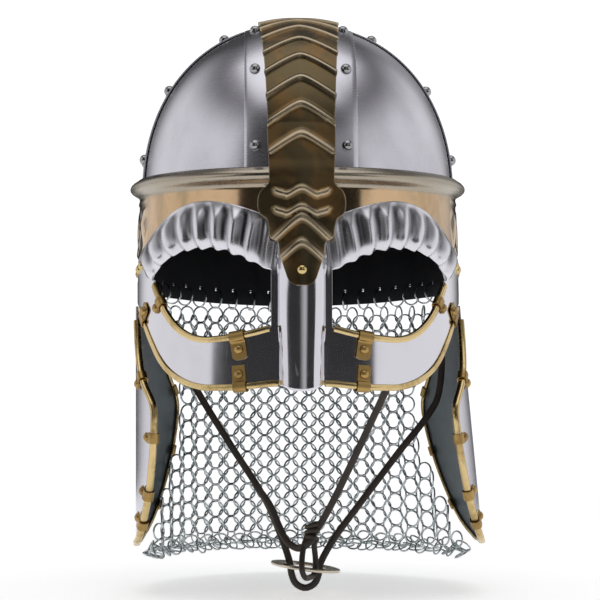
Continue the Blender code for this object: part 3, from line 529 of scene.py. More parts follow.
def longBand():
    frontRows, arcRows, backRows = shell["frontRows"], shell["arcRows"], shell["backRows"]
    half = shell["longWidth"] / 2
    reach = bowl["halfWidth"] + bowl["flare"] + faces["band"]
    sides = [reach * math.sin(math.radians(turn)) for turn in holeTurns]
    lines, narrow = holeColumns(sides, -half, half, shell["longColumns"], holes["half"])
    rows = frontRows + arcRows + backRows

    def leftOut(column, row):
        return row == rows - 2 and column in narrow

    def place(column, row):
        side = lines[column]
        if row < frontRows:
            share = row / frontRows
            height = bowl["frontEdge"] + (bowl["spring"] - bowl["frontEdge"]) * share
            return besideBowl(height, side, faces["band"]), 0.0
        if row <= frontRows + arcRows:
            return onArc(180.0 * (row - frontRows) / arcRows, side, faces["band"]), 0.0
        turn = 180.0 - math.degrees(math.asin(side / bowl["halfWidth"]))
        return besideBowl(wallHeight(turn, rows - row, backRows), side, faces["band"], back=True), 0.0

    bm = gridMesh(len(lines) - 1, rows, place, leftOut)
    makePiece("long_band", bm, "steel inside", thickness=walls["band"],
              edge=shell["edge"])


def crossBand(name, right):
    wallRows, arcRows, columns = shell["wallRows"], shell["crossRows"], shell["crossColumns"]
    half = shell["crossWidth"] / 2
    meet = shell["longWidth"] / 2 + walls["gap"]
    across = bowl["halfWidth"] + faces["band"]
    last = math.degrees(math.acos((meet / across) ** (bowl["power"] / 2.0)))

    def place(column, row):
        side = half * (1.0 - 2.0 * column / columns)
        side = -side if right else side
        if row < wallRows:
            height = bowl["spring"] * row / wallRows
            wide, long = bowlAxes(height, faces["band"])
            point = Vector((-wide * math.sqrt(1.0 - (side / long) ** 2), side, height))
        else:
            point = onArc(last * (row - wallRows) / arcRows, side, faces["band"], lengthwise=False)
            if row == wallRows + arcRows:
                point = onDome(-meet, side, faces["band"])
        if right:
            point.x = -point.x
        return point, 0.0

    bm = gridMesh(columns, wallRows + arcRows, place)
    makePiece(name, bm, "steel inside", thickness=walls["band"], edge=shell["edge"])


rivets = dict(inset=0.0065, radius=0.0034, rise=0.0029, longAngles=(11, 40, 70, 110, 140, 169),
              crossAngles=(11, 36, 64, 116, 144, 169))


def bowlRivets():
    runs = (("long", shell["longWidth"] / 2, rivets["longAngles"], ("left", "right"), True),
            ("cross", shell["crossWidth"] / 2, rivets["crossAngles"], ("front", "rear"), False))
    for band, half, angles, words, lengthwise in runs:
        for index, angle in enumerate(angles):
            for sign, word in zip((-1.0, 1.0), words):
                side = sign * (half - rivets["inset"])
                foot = onArc(angle, side, faces["band"], lengthwise)
                ahead = onArc(angle + 1.0, side, faces["band"], lengthwise) - foot
                beside = onArc(angle, side + 0.001, faces["band"], lengthwise) - foot
                out = (beside.cross(ahead) if lengthwise else ahead.cross(beside)).normalized()
                name = f"{band}_rivet_{word}_{index + 1}"
                bm = domeMesh(rivets["radius"], rivets["rise"] + walls["gap"], foot, out)
                makePiece(name, bm, "rivet")


for depth in ("front", "rear"):
    for hand in ("left", "right"):
        skullPlate(f"skull_plate_{depth}_{hand}", depth == "front", hand == "right")
longBand()
crossBand("cross_band_left", False)
crossBand("cross_band_right", True)
bowlRivets()
print("bowl made")


# Brow band with its bead, and a braid in low relief round the sides and the back

brow = dict(top=0.0710, sideEdge=0.0150, beadHeight=0.0125, columns=620, faceRows=34, beadRows=16,
            braidRise=0.0011, braidStart=68.0, braidFade=4.0, braidPitch=0.030, braidSwing=0.0125,
            strandWidth=0.0026, strands=3, border=0.0022)
beadTable = (  # height and reach along the bead, as shares
    (0.00, 0.00), (0.12, 0.06), (0.24, 0.28), (0.36, 0.74), (0.50, 0.99), (0.66, 0.98), (0.80, 0.76),
    (0.91, 0.42), (1.00, 0.16))


def browEdge(turn):
    share = min(1.0, readTable(plateEdge, 1, min(fromFront(turn), 90.0)))
    return brow["sideEdge"] + (bowl["frontEdge"] - brow["sideEdge"]) * share


def braidAt(turn, height):
    # strands that swing across each other, the upper one of a crossing standing higher
    low, high = brow["sideEdge"], brow["top"] - brow["beadHeight"]
    middle = (low + high) / 2
    along = math.radians(turn) * (bowl["halfWidth"] + bowl["halfLength"]) / 2
    best = 0.0
    for strand in range(brow["strands"]):
        phase = math.tau * (along / brow["braidPitch"] / 2 + strand / brow["strands"])
        centre = middle + brow["braidSwing"] * math.sin(phase)
        slope = brow["braidSwing"] * math.cos(phase) * math.pi / brow["braidPitch"]
        off = abs(height - centre) / math.sqrt(1 + slope * slope) / brow["strandWidth"]
        over = 0.72 + 0.28 * math.cos(2 * phase + math.pi * (strand % 2))
        best = max(best, math.sqrt(max(0.0, 1 - off * off)) * over)
    for line in (low + brow["border"], high - brow["border"]):
        off = abs(height - line) / (brow["border"] * 0.5)
        best = max(best, 0.6 * math.sqrt(max(0.0, 1 - off * off)))
    return best * smooth(brow["braidStart"], brow["braidStart"] + brow["braidFade"], fromFront(turn))


def browBand():
    inner = faces["brow"] - walls["brass"]
    beadLow = brow["top"] - brow["beadHeight"]
    faceRows, beadRows = brow["faceRows"], brow["beadRows"]
    rows = faceRows + beadRows + 3

    def place(column, row):
        turn = 360.0 * column / brow["columns"]
        low = browEdge(turn)
        relief = 0.0
        if row == 0 or row == rows:
            offset, height = inner, low
        elif row <= faceRows + 1:
            height = low + (beadLow - low) * (row - 1) / faceRows
            relief = braidAt(turn, height)
            offset = faces["brow"] + relief * brow["braidRise"]
        elif row <= faceRows + 1 + beadRows:
            share = (row - faceRows - 1) / beadRows
            height = beadLow + brow["beadHeight"] * share
            offset = faces["brow"] + walls["bead"] * readTable(beadTable, 1, share)
        else:
            offset, height = inner, brow["top"]
        return onEllipse(*bowlAxes(min(height, bowl["spring"]), offset), turn, height), relief

    bm = gridMesh(brow["columns"], rows, place)
    bmesh.ops.remove_doubles(bm, verts=bm.verts, dist=meshing["weld"])
    bmesh.ops.recalc_face_normals(bm, faces=bm.faces)
    makePiece("brow_band", bm, "brow")


# Crest: a strip with chevrons, two wavy ribs between its lobes, and a tip over the nasal

crest = dict(topWidth=0.0500, neckWidth=0.0390, wrap=0.0030, firstAngle=18.0, lastAngle=162.0,
             columns=44, frontRows=120, arcRows=380, backRows=60, tipHalf=0.0122, edge=0.0003,
             pitch=0.0190, ribWidth=0.0034, ribRise=0.0019, ribSlope=0.70, bend=0.0030, lowest=0.091,
             plain=0.078, backPlain=0.62, edgeWave=0.0006, waveHeights=(0.0555, 0.0445),
             waveReach=0.0150, waveSwing=0.0021, waveWidth=0.85, noseRibs=(0.0405, 0.0255),
             noseSlope=0.95, noseWidth=0.8, ribSides=(1.15, 0.9), ribPower=1.3, rubbed=0.9,
             rivetHeight=0.0095, rivetRadius=0.0030, rivetRise=0.0024)
crestFront = (  # height, half width, lift, tip
    (0.004, 0.16, 1.0, 1.00), (0.020, 0.30, 1.0, 1.00), (0.060, 0.425, 1.0, 1.00),
    (0.100, 0.48, 1.0, 1.00), (0.165, 0.56, 1.0, 0.95), (0.265, 0.68, 1.0, 0.75),
    (0.365, 0.73, 1.0, 0.45), (0.400, 0.95, 1.0, 0.35), (0.485, 1.00, 1.0, 0.15),
    (0.560, 1.08, 1.0, 0.05), (0.600, 1.27, 1.0, 0.00), (0.695, 1.34, 1.0, 0.00),
    (0.790, 1.25, 1.0, 0.00), (0.845, 1.02, 1.0, 0.00), (0.940, 0.99, 1.0, 0.00),
    (1.070, 1.01, 0.6, 0.00), (1.250, 1.04, 0.2, 0.00), (1.392, 1.03, 0.0, 0.00))
crestBack = (  # height, lift
    (0.423, 0.0), (0.62, 0.4), (0.80, 1.0), (0.95, 1.0), (1.07, 0.6), (1.25, 0.2), (1.392, 0.0))


def ribAt(off, width):
    # a half-round rib across its middle line, a little steeper on its lower side
    below, above = crest["ribSides"]
    off = off / width * (below if off < 0 else above)
    return max(0.0, 1 - off * off) ** crest["ribPower"]


def crestRelief(side, height, run):
    # the height places the ribs on the tip and lobes, and run, the way along the strip from the
    # lowest chevron, places the chevrons
    apex = math.sqrt(side * side + crest["bend"] ** 2) - crest["bend"]
    best = 0.0
    if run is not None:
        behind = run + apex * crest["ribSlope"]
        step = (behind + crest["pitch"] / 2) % crest["pitch"] - crest["pitch"] / 2
        return ribAt(step, crest["ribWidth"]) if behind > -crest["pitch"] / 2 else 0.0
    for line in crest["noseRibs"]:
        off = (height - line + apex * crest["noseSlope"]) / math.sqrt(1 + crest["noseSlope"] ** 2)
        best = max(best, ribAt(off, crest["ribWidth"] * crest["noseWidth"]))
    for line in crest["waveHeights"]:
        share = side / crest["waveReach"]
        swing = crest["waveSwing"] * math.cos(share * math.pi * 1.5)
        wave = line + swing * (1.0 if abs(share) < 0.67 else 0.6)
        past = max(0.0, abs(side) - crest["waveReach"])
        off = math.copysign(math.hypot(height - wave, past), height - wave)
        best = max(best, ribAt(off, crest["ribWidth"] * crest["waveWidth"]))
    return best


def crestStrip():
    neck = crest["neckWidth"] / 2
    top = brow["top"]
    dome, bead, tipFace = faces["crestDome"], faces["crestBead"], faces["crestTip"]
    frontRows, arcRows, backRows = crest["frontRows"], crest["arcRows"], crest["backRows"]
    sweep = crest["lastAngle"] - crest["firstAngle"]
    angles = [crest["firstAngle"] + sweep * i / arcRows for i in range(arcRows + 1)]
    low, high, last = crestFront[0][0], crestFront[-1][0], crestBack[0][0]
    lows = [top * (low + (high - low) * row / frontRows) for row in range(frontRows)]
    highs = [top * (high + (last - high) * (row + 1) / backRows) for row in range(backRows)]
    spine = [besideBowl(height, 0.0, dome) for height in lows]
    spine += [onArc(angle, 0.0, dome) for angle in angles]
    spine += [besideBowl(height, 0.0, dome, back=True) for height in highs]
    runs = [0.0]
    for first, second in zip(spine, spine[1:]):
        runs.append(runs[-1] + (second - first).length)
    first = min(range(frontRows + arcRows // 2), key=lambda index: abs(spine[index].z - crest["lowest"]))
    runs = [run - runs[first] for run in runs]

    def place(column, row):
        across = 2.0 * column / crest["columns"] - 1.0
        # the outer edges and the first row take the rubbed colour: wear, and a painted highlight along the
        # edge
        rubbed = crest["rubbed"] if abs(across) > 0.99 or row == 0 else 0.0
        if row < frontRows:
            height = lows[row]
            share = height / top
            side = neck * readTable(crestFront, 1, share) * across
            tip = readTable(crestFront, 3, share)
            lift = dome + (bead - dome) * readTable(crestFront, 2, share) + (tipFace - bead) * tip
            lift -= crest["wrap"] * tip * (side / crest["tipHalf"]) ** 2
            relief = crestRelief(side, height, runs[row] if height > crest["plain"] else None)
            return besideBowl(height, side, lift + relief * crest["ribRise"]), max(relief, rubbed)
        if row <= frontRows + arcRows:
            angle = angles[row - frontRows]
            half = neck + (crest["topWidth"] / 2 - neck) * math.sin(math.radians(angle)) ** 2
            side = half * across
            relief = crestRelief(side, None, runs[row])
            side += math.copysign(crest["edgeWave"], side) * relief * abs(across) ** 8
            return onArc(angle, side, dome + relief * crest["ribRise"]), max(relief, rubbed)
        height = highs[row - frontRows - arcRows - 1]
        side = neck * across
        lift = faces["crestBack"] + (bead - faces["crestBack"]) * readTable(crestBack, 1, height / top)
        relief = crestRelief(side, None, runs[row]) if height < top * crest["backPlain"] else 0.0
        point = besideBowl(height, side, lift + relief * crest["ribRise"], back=True)
        return point, max(relief, rubbed)

    bm = gridMesh(crest["columns"], frontRows + arcRows + backRows, place)
    makePiece("crest", bm, "crest", thickness=walls["brass"], edge=crest["edge"])
    foot = besideBowl(crest["rivetHeight"], 0.0, tipFace)
    bm = domeMesh(crest["rivetRadius"], crest["rivetRise"], foot, Vector((0, -1, 0)))
    makePiece("nose_rivet", bm, "stud")


browBand()
crestStrip()
print("brow band and crest made")


# Face guard

guard = dict(rise=0.052, drop=0.0605, endTurn=77.0, eyeStart=10.0, eyeEnd=59.5, edge=0.0003,
             cheekRows=20, eyeRows=8, browRows=34, noseColumns=22, eyeColumns=159, templeColumns=26,
             roll=0.0070, flute=0.0011, scallop=0.0008, perFlute=18, fadeColumns=8,
             flutes=(12.2, 4.75, 0.11),  # the first one's turn, the step to the next and its growth
             ridgePower=1.15, ridgeFade=(0.98, 0.72), grooveStart=(0.08, 0.40), grooveEnd=(0.96, 0.86),
             groovePower=1.5, nasalHalf=0.0140, nasalTaper=0.10, nasalFade=0.45, nasalShape=(2.7, 0.75))
leanTable = (  # turn at the eye, further turn at the top
    (0.0, 0.0), (10.0, -2.0), (17.0, -2.2), (22.0, -0.6), (28.0, 1.6), (38.0, 5.0), (45.0, 8.0),
    (52.0, 11.5), (58.0, 13.0), (64.0, 9.0), (77.0, 0.0))
guardTable = (  # turn, jaw, sill, lintel, brow
    (0.0, -1.020, -0.380, 0.170, 0.740), (4.0, -1.005, -0.380, 0.172, 0.745),
    (7.0, -0.960, -0.385, 0.176, 0.760), (10.0, -0.957, -0.392, 0.184, 0.795),
    (16.0, -0.976, -0.436, 0.280, 0.868), (22.0, -0.992, -0.472, 0.375, 0.936),
    (28.0, -0.997, -0.493, 0.433, 0.980), (34.0, -0.997, -0.500, 0.444, 1.000),
    (40.0, -0.965, -0.464, 0.427, 0.982), (46.0, -0.902, -0.373, 0.372, 0.930),
    (52.0, -0.802, -0.220, 0.278, 0.838), (57.0, -0.677, -0.025, 0.166, 0.742),
    (59.5, -0.596, 0.070, 0.105, 0.690), (64.0, -0.455, 0.035, 0.170, 0.600),
    (70.0, -0.258, -0.030, 0.200, 0.500), (77.0, -0.120, -0.010, 0.180, 0.385))
swellTable = (  # share of the height, share of the roll
    (0.0, 0.50), (0.08, 0.76), (0.16, 0.93), (0.26, 1.0), (0.38, 0.97), (0.50, 0.87), (0.62, 0.72),
    (0.74, 0.53), (0.86, 0.31), (0.94, 0.15), (1.0, 0.03))
rollTable = (  # turn, share of the roll
    (10.0, 0.10), (14.0, 0.35), (20.0, 0.80), (28.0, 1.00), (48.0, 1.00), (55.0, 0.80), (59.5, 0.50),
    (66.0, 0.00))


def guardLine(turn, column):
    share = readTable(guardTable, column, abs(turn))
    return share * (guard["rise"] if column > 2 or share > 0.0 else guard["drop"])


def guardTurns():
    # the turn of each column from the middle outwards, closest together over the eye
    start, end, rest = guard["eyeStart"], guard["eyeEnd"], guard["endTurn"] - guard["eyeEnd"]
    noseColumns, templeColumns = guard["noseColumns"], guard["templeColumns"]
    first, step, growth = guard["flutes"]
    counts = [i / guard["perFlute"] - 0.5 for i in range(1, guard["eyeColumns"])]
    turns = [start * i / noseColumns for i in range(noseColumns + 1)]
    turns += [first + step * count + growth * count**2 for count in counts] + [end]
    return turns + [end + rest * i / templeColumns for i in range(1, templeColumns + 1)]


def faceGuard():
    turns = guardTurns()
    halfColumns = len(turns) - 1
    cheekRows, eyeRows, browRows = guard["cheekRows"], guard["eyeRows"], guard["browRows"]
    firstEye, fade = guard["noseColumns"], guard["fadeColumns"]
    lastEye = firstEye + guard["eyeColumns"]

    def leftOut(column, row):
        at = column - halfColumns if column >= halfColumns else halfColumns - 1 - column
        return firstEye <= at < lastEye and cheekRows <= row < cheekRows + eyeRows

    def place(column, row):
        index = abs(column - halfColumns)
        sign = 1.0 if column >= halfColumns else -1.0
        turn = turns[index]
        lean = readTable(leanTable, 1, turn)
        offset, grooveShade = faces["guard"], 0.0
        if row <= cheekRows:
            low, high = guardLine(turn, 1), guardLine(turn, 2)
            height = low + (high - low) * row / cheekRows
        elif row < cheekRows + eyeRows:
            low, high = guardLine(turn, 2), guardLine(turn, 3)
            height = low + (high - low) * (row - cheekRows) / eyeRows
        else:
            share = (row - cheekRows - eyeRows) / browRows
            low, high = guardLine(turn, 3), guardLine(turn + lean, 4)
            height = low + (high - low) * share
            roll = readTable(rollTable, 1, turn) if turn > guard["eyeStart"] - 1.0 else 0.0
            offset += guard["roll"] * roll * readTable(swellTable, 1, share)
            if firstEye - fade < index < lastEye + fade:
                wave = 0.5 * math.cos(math.tau * ((index - firstEye) / guard["perFlute"] - 0.5))
                ridge = 2.0 * (0.5 + wave) ** guard["ridgePower"] - 1.0
                strength = min(1.0, roll + 0.2) * smooth(*guard["ridgeFade"], share + 0.04 * ridge)
                strength *= smooth(firstEye - fade, firstEye, index)
                strength *= 1.0 - smooth(lastEye, lastEye + fade, index)
                # painted shade: this mask darkens the flute troughs with the guard paint's near-black
                # colour
                grooveShade = (0.5 - wave) ** guard["groovePower"] * smooth(*guard["grooveStart"], share)
                grooveShade *= smooth(*guard["grooveEnd"], share)
                grooveShade *= min(1.0, roll + 0.3) * smooth(firstEye - fade / 2, firstEye + fade / 2, index)
                offset += guard["flute"] * ridge * strength
                height -= guard["scallop"] * ridge * (1.0 - smooth(0.0, 0.25, share)) * strength
            turn = turn + lean * share
        point = onBowl(sign * turn, height, offset)
        half = guard["nasalHalf"] * (1.0 - guard["nasalTaper"] * smooth(0.0, 1.0, -height / guard["drop"]))
        if abs(point.x) < half:
            rise = max(0.0, min(1.0, 1.6 - height / (guard["rise"] * guard["nasalFade"])))
            flat, steep = guard["nasalShape"]
            point.y -= (1.0 - (abs(point.x) / half) ** flat) ** steep * walls["nasal"] * rise
        return point, grooveShade

    bm = gridMesh(2 * halfColumns, cheekRows + eyeRows + browRows, place, leftOut)
    makePiece("spectacle_guard", bm, "guard inside", thickness=walls["guard"],
              edge=guard["edge"])


# Channels along the edges, and the clips that hold them

trims = dict(wall=0.0007, depth=0.0026, cheekDepth=0.0016, fat=0.0003, steps=70, look=0.4,
             eyeTurns=(10.6, 59.2), jawTurns=(7.6, 73.0),
             sides=((0.80, 1.0), (0.98, 0.75), (1.02, 0.35)))  # shares of the width and of the depth
clips = dict(wall=0.0008, corner=0.0022, columns=8, studRadius=0.0028, studRise=0.0022,
             cheek=(0.0062, 0.0100),  # width and length
             guard=(("eye_clip_", 2, 21.4, 0.0095, 0.0150), ("jaw_clip_", 1, 20.3, 0.0083, 0.0135),
                    ("eye_end_clip_", 2, 54.5, 0.0060, 0.0090),
                    ("jaw_end_clip_", 1, 68.5, 0.0088, 0.0125)),  # column, turn, width and length
             studs=((71.5, 0.0160), (75.0, 0.0138)))  # turn and height


def channelProfile(wall, lip=trims["depth"]):
    # round outside, with a slot for the sheet
    half = wall / 2 + walls["gap"]
    outer = half + trims["wall"] + trims["fat"]
    back = -(walls["gap"] + trims["wall"]) * 1.25
    side = [(outer * wide, lip * deep) for wide, deep in trims["sides"]]
    arc = [(outer * math.cos(math.pi * i / 12), back * math.sin(math.pi * i / 12)) for i in range(13)]
    far = [(-across, deep) for across, deep in reversed(side)]
    slot = [(-half, lip), (-half, -walls["gap"]), (half, -walls["gap"])]
    return [(half, lip)] + side + arc + far + slot


def guardEdge(turn, column, sign):
    # a point on the guard's edge with the ways out of the sheet and into it
    middle = faces["guard"] - walls["guard"] / 2
    before, here, ahead = [onBowl(sign * at, guardLine(at, column), middle)
                           for at in (turn - trims["look"], turn, turn + trims["look"])]
    out = outOf(bowl, sign * turn)
    into = out.cross((ahead - before).normalized()).normalized()
    return here, out, -into if (into.z > 0) == (column == 2) else into


def guardTrim(name, column, turns, sign):
    first, last = turns
    count = trims["steps"]
    stations = [guardEdge(first + (last - first) * i / count, column, sign) for i in range(count + 1)]
    makePiece(name, sweepMesh(stations, channelProfile(walls["guard"])), "trim")


def clipMesh(edge, out, into, width, length, wall):
    # a strip folded over the channel, with a rounded tail and its rivet
    along = out.cross(into).normalized()
    rest = wall / 2 + walls["gap"]
    face = rest + trims["wall"] + walls["layer"]
    back = -(walls["gap"] + trims["wall"] + walls["layer"]) * 1.15
    depth, columns = trims["depth"], clips["columns"]
    tail = depth * 1.6
    line = [(-face, depth)]
    line += [(-face * math.cos(math.pi * i / 10), back * math.sin(math.pi * i / 10)) for i in range(11)]
    line += [(face, depth * 0.8), (face * 0.9, depth * 1.15)]
    line += [(rest + (face * 0.9 - rest) * 0.3, depth * 1.3)]
    line += [(rest, tail + (length - tail) * i / 8) for i in range(9)]

    def place(column, row):
        across, deep = line[row]
        left = length - deep
        pull = 0.0
        if 0 <= left < clips["corner"] and row > 12:
            pull = clips["corner"] - math.sqrt(clips["corner"] ** 2 - (clips["corner"] - left) ** 2)
        aside = (width / 2 - pull) * (1.0 - 2.0 * column / columns)
        return edge + out * across + into * deep + along * aside, 0.0

    bm = gridMesh(columns, len(line) - 1, place)
    bmesh.ops.recalc_face_normals(bm, faces=bm.faces)
    outside = [part for part in bm.faces if part.calc_center_median().dot(out) > edge.dot(out)]
    if sum(part.normal.dot(out) for part in outside) < 0:
        bmesh.ops.reverse_faces(bm, faces=bm.faces)
    bmesh.ops.solidify(bm, geom=bm.faces[:], thickness=-clips["wall"])
    bmesh.ops.recalc_face_normals(bm, faces=bm.faces)
    foot = edge + out * (rest + clips["wall"]) + into * (depth + length) / 2
    pourInto(bm, domeMesh(clips["studRadius"], clips["studRise"], foot, out))
    return bm


def guardFittings(hand, sign):
    guardTrim("eye_trim_" + hand, 2, trims["eyeTurns"], sign)
    guardTrim("jaw_trim_" + hand, 1, trims["jawTurns"], sign)
    for name, column, turn, width, length in clips["guard"]:
        edge, out, into = guardEdge(turn, column, sign)
        bm = clipMesh(edge, out, into, width, length, walls["guard"])
        makePiece(name + hand, bm, "clip")
    for number, (turn, height) in enumerate(clips["studs"]):
        foot = onBowl(sign * turn, height, faces["guard"])
        bm = domeMesh(clips["studRadius"], clips["studRise"], foot, outOf(bowl, sign * turn))
        name = f"templeStud{hand.capitalize()}{number + 1}"
        makePiece(name, bm, "stud", replaced=False)


# Cheek plates, with their channels and clips

cheek = dict(halfWidth=0.1040, halfLength=0.1180, top=-0.0088, length=0.1517, wall=0.0012, splay=5.5,
             hingeInset=0.0022, hingeDrop=0.0038, columns=26, rows=60, edge=0.0003, trimFrom=0.06,
             tipSteps=6, frontClips=(0.30, 0.55, 0.775, 0.90), rearClips=(0.36, 0.63, 0.86))
cheekTable = (  # drop, front turn, rear turn
    (0.00, 82.7, 104.8), (0.06, 82.0, 109.0), (0.18, 78.0, 117.0), (0.30, 71.0, 124.0),
    (0.405, 61.0, 128.5), (0.51, 60.0, 128.0), (0.65, 61.5, 125.0), (0.795, 65.0, 119.5),
    (0.91, 71.0, 112.5), (0.97, 77.0, 105.0), (1.00, 84.0, 97.0))


def cheekPoint(turn, drop, offset):
    height = cheek["top"] - cheek["length"] * drop
    return onEllipse(cheek["halfWidth"] + offset, cheek["halfLength"] + offset, turn, height)


def cheekTurn(right):
    # the left plate hangs straight and the right one stands out from its hinge
    axis = Vector((bowlAxes(0.0, 0.0)[0] - cheek["hingeInset"], 0.0, -cheek["hingeDrop"]))
    if right:
        turn = Matrix.Rotation(math.radians(-cheek["splay"]), 4, "Y")
        return Matrix.Translation(axis) @ turn @ Matrix.Translation(-axis)
    return Matrix.Scale(-1.0, 4, (1, 0, 0))


def cheekSide(hand, right):
    body, matrix = "cheek_" + hand, cheekTurn(right)
    columns, rows = cheek["columns"], cheek["rows"]

    def place(column, row):
        drop = 1.0 - row / rows
        front, rear = readTable(cheekTable, 1, drop), readTable(cheekTable, 2, drop)
        return cheekPoint(front + (rear - front) * column / columns, drop, 0.0), 0.0

    bm = gridMesh(columns, rows, place)
    makePiece("cheek_plate_" + hand, bm, "cheek slate", body, thickness=cheek["wall"],
              edge=cheek["edge"], turned=matrix)

    drops = [cheek["trimFrom"] + (1.0 - cheek["trimFrom"]) * i / rows for i in range(rows + 1)]
    steps = cheek["tipSteps"]
    front, rear = cheekTable[-1][1:]
    ends = [(readTable(cheekTable, 1, drop), drop) for drop in drops]
    ends += [((front * (steps - i) + rear * i) / steps, 1.0) for i in range(1, steps)]
    ends += [(readTable(cheekTable, 2, drop), drop) for drop in reversed(drops)]
    middle = [cheekPoint(turn, drop, -cheek["wall"] / 2) for turn, drop in ends]
    last = len(ends) - 1
    stations = []
    for index, (turn, drop) in enumerate(ends):
        ahead = middle[min(index + 1, last)] - middle[max(index - 1, 0)]
        out = outOf(cheek, turn)
        stations.append((middle[index], out, out.cross(ahead.normalized()).normalized()))
    wall = cheek["wall"] + 2 * walls["gap"]
    bm = sweepMesh(stations, channelProfile(wall, trims["cheekDepth"]))
    makePiece("cheek_trim_" + hand, bm, "trim", body, turned=matrix)

    for edgeName, places in (("Front", cheek["frontClips"]), ("Rear", cheek["rearClips"])):
        for number, drop in enumerate(places):
            index = min(range(len(drops)), key=lambda i: abs(drops[i] - drop))
            index = index if edgeName == "Front" else last - index
            bm = clipMesh(*stations[index], *clips["cheek"], wall)
            name = f"cheekClip{edgeName}{hand.capitalize()}{number + 1}"
            makePiece(name, bm, "clip", body, replaced=False, turned=matrix)


faceGuard()
for hand, sign in (("left", -1.0), ("right", 1.0)):
    guardFittings(hand, sign)
    cheekSide(hand, sign > 0)
print("face guard and cheek plates made")


# Mail: rows of linked rings that lean by turns to the left and to the right

mail = dict(ringRadius=0.0053, wire=0.00064, sides=20, wireSides=6, hangerRadius=0.0066,
            hangerLift=0.0031, start=108.7, end=253.7, columns=20, firstRow=-0.0117, rows=28,
            rowStep=0.00557, bottom=-0.1655, rightFlare=0.0150, leftFlare=-0.0015, inset=0.0020,
            lean=20.0, hangerSway=7, sway=3, tip=4, spin=20, hemSway=25, hemTip=14, hemSlip=0.0006,
            hem=((0.0010, 0.0040, -35.0), (0.0040, 0.0062, -70.0),
                 (0.0058, 0.0040, -115.0), (0.0040, 0.0012, -145.0)))  # out, down and turn
mailEdge = (  # height, turn where the mail ends beside the cheek plates
    (-0.165, 107.0), (-0.156, 109.0), (-0.147, 111.0), (-0.130, 115.5), (-0.120, 119.5), (-0.107, 123.5),
    (-0.086, 127.0), (-0.070, 128.0), (-0.054, 125.0), (-0.028, 119.0), (-0.015, 112.0), (0.0, 107.0))


def mailPoint(share, height):
    # a place on the curtain and the level way out of it
    turn = mail["start"] + (mail["end"] - mail["start"]) * share
    edge = abs(2.0 * share - 1.0)
    flare = (mail["rightFlare"] if share < 0.5 else mail["leftFlare"]) * edge**2
    fall = max(0.0, -height / abs(mail["bottom"]))
    out = outOf(bowl, turn)
    sway = flare * fall**1.4 - mail["inset"] * min(1.0, fall * 12.0)
    point = onBowl(turn, 0.0, (faces["band"] - walls["plate"]) / 2) + out * sway
    return Vector((point.x, point.y, height)), out


def ringMesh(radius):
    bm = bmesh.new()
    bmesh.ops.create_circle(bm, segments=mail["wireSides"], radius=mail["wire"])
    bmesh.ops.translate(bm, vec=(radius, 0, 0), verts=bm.verts)
    bmesh.ops.spin(bm, geom=bm.verts[:] + bm.edges[:], cent=(0, 0, 0), axis=(0, 1, 0), angle=math.tau,
                   steps=mail["sides"], use_merge=True)
    bmesh.ops.recalc_face_normals(bm, faces=bm.faces)
    return meshFrom("ring", bm)


def addRing(bm, ring, point, out, lean, pitch=0.0, roll=0.0):
    # the ring's own axis is Y: it faces out, then leans about the upright and tips about the level
    side = Vector((-out.y, out.x, 0.0))
    stand = Matrix((side, out, Vector((0, 0, 1)))).transposed().to_4x4()
    turn = Matrix.Rotation(math.radians(lean), 4, "Z") @ Matrix.Rotation(math.radians(pitch), 4, "X")
    turn = turn @ Matrix.Rotation(math.radians(roll), 4, "Y")
    copy = ring.copy()
    copy.transform(Matrix.Translation(point) @ stand @ turn)
    bm.from_mesh(copy)
    bpy.data.meshes.remove(copy)


def ringShares(row):
    # where the rings of a row hang, every other row half a step along
    odd = (row + 1) % 2
    return [(column + 0.5 * odd) / mail["columns"] for column in range(mail["columns"] + 1 - odd)]


def mailCurtain():
    random.seed(5)

    def stray(most):
        return random.uniform(-most, most)

    ring, hanger = ringMesh(mail["ringRadius"]), ringMesh(mail["hangerRadius"])
    upper, lower = bmesh.new(), bmesh.new()
    span = mail["end"] - mail["start"]
    for turn in holeTurns:
        point, out = mailPoint((turn - mail["start"]) / span, rimHeight(turn))
        point.z += mail["hangerLift"]
        addRing(upper, hanger, point, out, 90.0 + stray(mail["hangerSway"]))
    for row in range(mail["rows"]):
        height = mail["firstRow"] - mail["rowStep"] * row
        for share in ringShares(row):
            turn = mail["start"] + span * share
            if min(turn, 360.0 - turn) < readTable(mailEdge, 1, height):
                continue
            point, out = mailPoint(share, height)
            lean = mail["lean"] * (-1 if row % 2 else 1) + stray(mail["sway"])
            addRing(upper if row < mail["rows"] // 2 else lower, ring, point, out, lean,
                    stray(mail["tip"]), random.uniform(0, mail["spin"]))
    # the last rows curl up behind into a hem
    hemTop = mail["firstRow"] - mail["rowStep"] * (mail["rows"] - 0.4)
    for row, (away, down, tip) in enumerate(mail["hem"]):
        for share in ringShares(mail["rows"] + row):
            point, out = mailPoint(share, hemTop)
            point = point + out * (away + stray(mail["hemSlip"]))
            point.z = hemTop - down + stray(mail["hemSlip"])
            addRing(lower, ring, point, out, stray(mail["hemSway"]), tip + stray(mail["hemTip"]))
    makePiece("mailUpper", upper, "zinc", replaced="mail_curtain")
    makePiece("mailLower", lower, "zinc", replaced=False)


mailCurtain()
print("mail made")


# Straps, knot and ring

